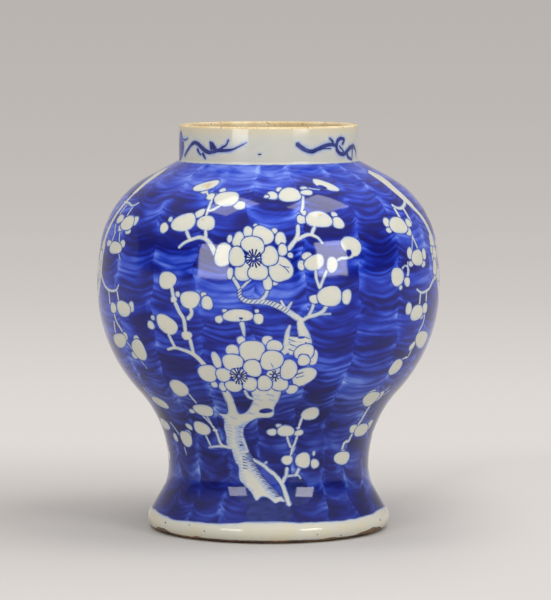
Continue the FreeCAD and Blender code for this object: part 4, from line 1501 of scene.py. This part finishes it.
def white_glaze(name, edged):
    """Clear glaze on a white body, faintly green, with soft clouds and cobalt run in from the edges."""
    finish = Finish(name)
    place = finish.place()
    clouds = finish.noise(place, 38.0, 3.0, 0.55)
    colour = finish.ramp(clouds, [(0.3, (190, 191, 180)), (0.5, (197, 197, 186)), (0.72, (202, 200, 186))])
    pale = finish.between(finish.noise(place, 240.0, 2.0), 0.62, 0.8, 0.0, 0.35)
    colour = finish.mix(pale, colour, linear(194, 198, 191))
    if edged:
        run_in = finish.between(finish.noise(place, 150.0, 2.0), 0.3, 0.7, 0.35, 0.95)
        edge = finish.math("MULTIPLY", finish.math("SUBTRACT", 1.0, finish.attribute("inset")), run_in)
        colour = finish.mix(edge, colour, linear(154, 174, 206))
        _, _, level = finish.split(place)
        bright = finish.between(level, *NECK_ROOT, 0.0, 0.3)
        colour = finish.mix(bright, colour, linear(228, 227, 213))
        stains = finish.between(finish.noise(place, 55.0, 3.0, 0.6), 0.42, 0.68, 0.06, 0.6)
        foot = finish.math("MULTIPLY", finish.between(level, *ABOVE_RING), stains)
        warm = finish.math("ADD", finish.between(level, *BELOW_LIP, 0.0, 0.6), foot)
        colour = finish.mix(warm, colour, linear(216, 200, 160))
    finish.colour(colour)
    glaze_surface(finish)
    return finish.material


SPECKED_ABOVE = 0.62


def bare_clay(name, light, dark, burnt, share=SPECKED_ABOVE):
    """Unglazed clay, burnt in patches, specked and grained."""
    finish = Finish(name, CLAY_ROUGHNESS)
    place = finish.place()
    patches = finish.noise(place, 70.0, 4.0, 0.6, 0.3)
    grain = finish.noise(place, 900.0, 2.0)
    colour = finish.ramp(patches, [(0.32, light), (0.62, dark)])
    specks = finish.between(finish.noise(place, 620.0, 2.0), share, share + 0.07)
    finish.colour(finish.mix(specks, colour, linear(*burnt)))
    finish.bump(grain, CLAY_GRAIN)
    return finish.material


def painted_materials():
    """One finish for each colour of the painting, in the order of their numbers."""
    return [
        cobalt_ground(),
        brush_finish("cobalt_line", (14, 26, 98), (78, 98, 172), 4.2),
        brush_finish("reserve_rim", (128, 150, 204), (182, 194, 208)),
        white_glaze("reserved_white", edged=True),
        brush_finish("rock_wash", (14, 28, 96), (38, 54, 132), 1.6),
        brush_finish("scroll_cobalt", (8, 18, 84), (42, 58, 142)),
        brush_finish("cobalt_haze", (128, 146, 196), (168, 180, 204)),
        brush_finish("iron_spot", (40, 26, 22), (84, 56, 40)),
        bare_clay("fired_edge", (150, 118, 84), (84, 62, 46), (40, 30, 26), 0.55),
        brush_finish("ochre_stain", (196, 168, 116), (212, 200, 174), 9.0),
        brush_finish("thin_cobalt", (26, 42, 142), (60, 84, 190), 1.5),
    ]


# Iron specks that burnt through the glaze

# How finely their belts are divided, and where the belts start and end
BELT_ROWS = 6
BELT_COLUMNS = 72
FOOT_SPECKS_START = 0.6
FOOT_SPECKS_LEVEL = 10.5
LIP_SPECKS_START = 0.8
SPECK_SHAPE = (1.0, 0.7, 0.16)


def speck_tree():
    """Scatters flat specks over the faces of a belt, with a fixed seed."""
    tree, given, result = new_tree("kiln_specks", (
        ("Belt", "Geometry"), ("Specks in a square metre", "Float"), ("Smallest", "Float"),
        ("Largest", "Float"), ("Seed", "Int"), ("Finish", "Material"),
    ), "Specks")
    scatter = tree.nodes.new("GeometryNodeDistributePointsOnFaces")
    speck = tree.nodes.new("GeometryNodeMeshUVSphere")
    flat = tree.nodes.new("GeometryNodeTransform")
    size = tree.nodes.new("FunctionNodeRandomValue")
    lay = tree.nodes.new("GeometryNodeInstanceOnPoints")
    speck.inputs["Segments"].default_value = 9
    speck.inputs["Rings"].default_value = 4
    speck.inputs["Radius"].default_value = 1.0
    flat.inputs["Scale"].default_value = SPECK_SHAPE
    for source, socket in (
        (given["Belt"], scatter.inputs["Mesh"]),
        (given["Specks in a square metre"], scatter.inputs["Density"]),
        (given["Seed"], scatter.inputs["Seed"]),
        (given["Smallest"], size.inputs[2]),
        (given["Largest"], size.inputs[3]),
        (given["Seed"], size.inputs["Seed"]),
        (speck.outputs["Mesh"], flat.inputs["Geometry"]),
        (scatter.outputs["Points"], lay.inputs["Points"]),
        (flat.outputs["Geometry"], lay.inputs["Instance"]),
        (scatter.outputs["Rotation"], lay.inputs["Rotation"]),
        (size.outputs[1], lay.inputs["Scale"]),
    ):
        tree.links.new(source, socket)
    end_tree(tree, lay.outputs["Instances"], given["Finish"], result)
    return tree


def belt_of_specks(name, tree, low, high, lift, settings):
    """Specks on the outside between two ways along the outline."""
    angles = np.linspace(0, 360, BELT_COLUMNS, endpoint=False)
    fars = np.linspace(low, high, BELT_ROWS)
    places = [on_outside(angles, np.full_like(angles, far), lift)[0] for far in fars]
    faces = []
    for row in range(BELT_ROWS - 1):
        for column in range(BELT_COLUMNS):
            here = row * BELT_COLUMNS + column
            beside = row * BELT_COLUMNS + (column + 1) % BELT_COLUMNS
            faces.append((here, beside, beside + BELT_COLUMNS, here + BELT_COLUMNS))
    belt = new_piece(name + "_belt", np.concatenate(places).tolist(), faces)
    return grown(name, belt, tree, settings)


# Studio

CAMERA_DISTANCE = 2.066
CAMERA_HEIGHT = 0.3213
CAMERA_PITCH = 4.985
SENSOR = 36.0
PICTURE_HEIGHT = 600
FOCAL_PIXELS = 3344
AXIS_LEFT_OF_MIDDLE = 7

LAMP_TINT = (1.0, 0.99, 0.97)
FRONT_LAMP_DISTANCE = 0.8
FRONT_LAMP_AIM = (0.0, 0.0, 0.3)

# How bright the room is, from the horizon up, by the sine of the height
ROOM_TINT = (1.01, 0.98, 0.96)
ROOM_LEVELS = ((0.0, 0.73), (0.028, 0.71), (0.08, 0.22), (0.28, 0.24), (0.75, 0.84))

# The paper in metres: half its width, where its bend starts, the bend's radius and steps, its top and level
PAPER_HALF = 20.0
PAPER_FLAT = 2.2
PAPER_BEND = 1.2
PAPER_BEND_STEPS = 24
PAPER_TOP = 4.0
PAPER_LEVEL = -0.0002

# Where the lit paper gives way to a glow of painted light behind the vase, to its right, over the vase's
# shadow there, and all round, and the tones of that painted light over that depth, darker further back
FADE_BACK = (0.03, 0.42)
GLOW_OVER_RIGHT_SHADOW = (0.06, 0.18)
FADE_ROUND = (0.45, 1.2)
PAPER_DEPTH = 3.2
PAPER_PAINTED_LIGHT = [
    (0.0, (225, 220, 216)), (0.21, (222, 217, 213)), (0.33, (215, 210, 206)), (0.5, (206, 201, 197)),
    (0.74, (199, 194, 190)), (0.88, (189, 184, 180)), (0.96, (184, 179, 175)),
]


def add_camera():
    data = bpy.data.cameras.new("camera")
    data.sensor_fit = "VERTICAL"
    data.sensor_height = SENSOR
    data.lens = SENSOR * FOCAL_PIXELS / PICTURE_HEIGHT
    data.shift_x = AXIS_LEFT_OF_MIDDLE / PICTURE_HEIGHT
    data.clip_end = 100.0
    camera = placed("camera", data)
    camera.location = (0.0, -CAMERA_DISTANCE, CAMERA_HEIGHT)
    camera.rotation_euler = (math.radians(UPRIGHT - CAMERA_PITCH), 0.0, 0.0)
    bpy.context.scene.camera = camera


def add_lamp(name, place, aim, size, radiance):
    """A softbox of that size in metres; its power follows from how bright its face is."""
    data = bpy.data.lights.new(name, "AREA")
    data.shape = "RECTANGLE"
    data.size, data.size_y = size
    data.energy = radiance * math.pi * size[0] * size[1]
    data.color = LAMP_TINT
    lamp = placed(name, data)
    lamp.location = place
    lamp.rotation_euler = (Vector(place) - Vector(aim)).to_track_quat("Z", "Y").to_euler()


def add_lamps():
    """Two softboxes in front at either side and two above."""
    for name, turn, level, size, radiance in (
        ("left_softbox", -35.0, 0.355, (0.285, 0.29), 6.3),
        ("right_softbox", 41.0, 0.378, (0.285, 0.32), 8.2),
    ):
        way = math.radians(turn)
        place = (FRONT_LAMP_DISTANCE * math.sin(way), -FRONT_LAMP_DISTANCE * math.cos(way), level)
        add_lamp(name, place, FRONT_LAMP_AIM, size, radiance)
    add_lamp("upper_left_softbox", (-0.35, -0.22, 1.2), (-0.05, -0.03, 0.2), (0.34, 0.44), 4.5)
    add_lamp("upper_right_softbox", (0.44, -0.16, 1.2), (0.05, 0.0, 0.2), (0.54, 0.38), 4.6)


def add_room():
    """A room with a pale ceiling and a pale strip at the horizon, darker between, and alike all round."""
    world = bpy.data.worlds.new("room")
    bpy.context.scene.world = world
    world.use_nodes = True
    nodes, links = world.node_tree.nodes, world.node_tree.links
    way = nodes.new("ShaderNodeSeparateXYZ")
    shade = nodes.new("ShaderNodeValToRGB")
    fill_ramp(shade, [
        (height, (*(tint * level for tint in ROOM_TINT), 1.0)) for height, level in ROOM_LEVELS
    ])
    links.new(nodes.new("ShaderNodeTexCoord").outputs["Generated"], way.inputs[0])
    links.new(way.outputs[2], shade.inputs[0])
    links.new(shade.outputs[0], nodes["Background"].inputs["Color"])


def backdrop_paper():
    """Paper that shows its shadows near the vase; further back and all round it gives way to a glow with a
    painted gradient of light, which to the vase's right also paints over the vase's shadow.
    """
    finish = Finish("backdrop_paper", PAPER_ROUGHNESS, PAPER_IOR)
    across, back, _ = finish.split(finish.place())
    squares = [finish.math("MULTIPLY", way, way) for way in (across, back)]
    away = finish.math("SQRT", finish.math("ADD", *squares))
    tone = finish.between(finish.noise(finish.place(), 1.5, 2.0), 0.3, 0.7, 0.0, 0.4)
    finish.colour(finish.mix(tone, linear(202, 199, 196), linear(198, 196, 193)))
    # Painted light: a glowing gradient, darker further back
    tones = finish.ramp(finish.math("DIVIDE", back, PAPER_DEPTH), PAPER_PAINTED_LIGHT)
    glow = finish.nodes.new("ShaderNodeEmission")
    finish.links.new(tones, glow.inputs["Color"])
    rays = finish.nodes.new("ShaderNodeLightPath")
    seen = finish.math("MAXIMUM", rays.outputs["Is Camera Ray"], rays.outputs["Is Glossy Ray"])
    seen = finish.math("MAXIMUM", seen, rays.outputs["Is Transmission Ray"])
    # How much of the paper is a glow of painted light instead of lit paper: behind the vase and all round
    plain = finish.math("MAXIMUM", finish.between(back, *FADE_BACK), finish.between(away, *FADE_ROUND))
    # and to the vase's right, where the glow paints over the vase's shadow
    plain = finish.math("MAXIMUM", plain, finish.between(across, *GLOW_OVER_RIGHT_SHADOW, 0.0, 0.8))
    blend = finish.nodes.new("ShaderNodeMixShader")
    finish.links.new(finish.math("MULTIPLY", seen, plain), blend.inputs[0])
    finish.links.new(finish.shader.outputs[0], blend.inputs[1])
    finish.links.new(glow.outputs[0], blend.inputs[2])
    finish.links.new(blend.outputs[0], finish.nodes["Material Output"].inputs["Surface"])
    return finish.material


def add_backdrop():
    """A sheet of paper that is the floor and sweeps up behind."""
    line = [(-PAPER_HALF, PAPER_LEVEL), (PAPER_FLAT, PAPER_LEVEL)]
    for step in range(1, PAPER_BEND_STEPS + 1):
        turn = math.radians(UPRIGHT * step / PAPER_BEND_STEPS)
        rise = PAPER_BEND * (1 - math.cos(turn))
        line.append((PAPER_FLAT + PAPER_BEND * math.sin(turn), PAPER_LEVEL + rise))
    line.append((PAPER_FLAT + PAPER_BEND, PAPER_TOP))
    vertices = [(x, y, z) for y, z in line for x in (-PAPER_HALF, PAPER_HALF)]
    faces = [(2 * n, 2 * n + 1, 2 * n + 3, 2 * n + 2) for n in range(len(line) - 1)]
    paper = new_piece("backdrop", vertices, faces, [backdrop_paper()])
    paper.data.shade_smooth()


# The whole

def finish_clay():
    """Fired clay for the parts of the body, seen at the lip and the standing ring."""
    fired = bare_clay("fired_clay", (176, 142, 104), (120, 88, 62), (58, 42, 34))
    slip = bare_clay("fired_slip", (206, 198, 182), (184, 174, 156), (120, 100, 80))
    for name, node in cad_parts.items():
        node.data.materials.clear()
        node.data.materials.append(slip if "slip" in name else fired)


def add_coats():
    materials = painted_materials()
    for piece in painted_coats(materials):
        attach(piece, "root")
    tree = spinning_tree()
    white = white_glaze("plain_white", edged=False)
    lip_clay = bare_clay("lip_clay", (234, 217, 178), (214, 188, 142), (112, 82, 54))
    bore = draw_inside().stations
    lip = [station for station in OUTSIDE.stations if station[0] > MARKS["lip"] + LIP_SKIN_START]
    lip += [station for station in bore if station[2] > LIP_LEVEL - LIP_SKIN_DEPTH][1:]
    inside = [station for station in bore if station[2] < LIP_LEVEL - INNER_GLAZE_DEPTH]
    plain = (
        ("bare_lip", lip, LIP_LIFT, lip_clay, "slip", COLUMNS),
        ("inner_glaze", inside, COAT_LIFT, white, "white_glaze", COARSE_COLUMNS),
        ("base_glaze", draw_underside().stations, COAT_LIFT, white, "white_glaze", COARSE_COLUMNS),
    )
    for name, stations, lift, material, slot, columns in plain:
        piece = spun_coat(name, tree, stations, lift, columns, material)
        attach(piece, "root")


def add_specks():
    tree = speck_tree()
    iron = brush_finish("iron_speck", (46, 30, 22), (96, 62, 38), 40.0)
    foot = (MARKS["foot"] + FOOT_SPECKS_START, far_at(FOOT_SPECKS_LEVEL))
    lip = (MARKS["lip"] + LIP_SPECKS_START, MARKS["mouth"])
    belts = (
        ("foot_specks", foot, COAT_LIFT, 9000.0, (0.00012, 0.00034), 4),
        ("lip_specks", lip, LIP_LIFT, 52000.0, (0.0001, 0.00036), 9),
    )
    for name, (low, high), lift, density, (smallest, largest), seed in belts:
        settings = {
            "Specks in a square metre": density, "Smallest": smallest, "Largest": largest,
            "Seed": seed, "Finish": iron,
        }
        piece = belt_of_specks(name, tree, low, high, lift, settings)
        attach(piece, "root")


def main():
    bpy.context.scene.view_settings.view_transform = "Standard"
    add_camera()
    add_room()
    add_lamps()
    add_backdrop()
    finish_clay()
    add_coats()
    add_specks()


main()
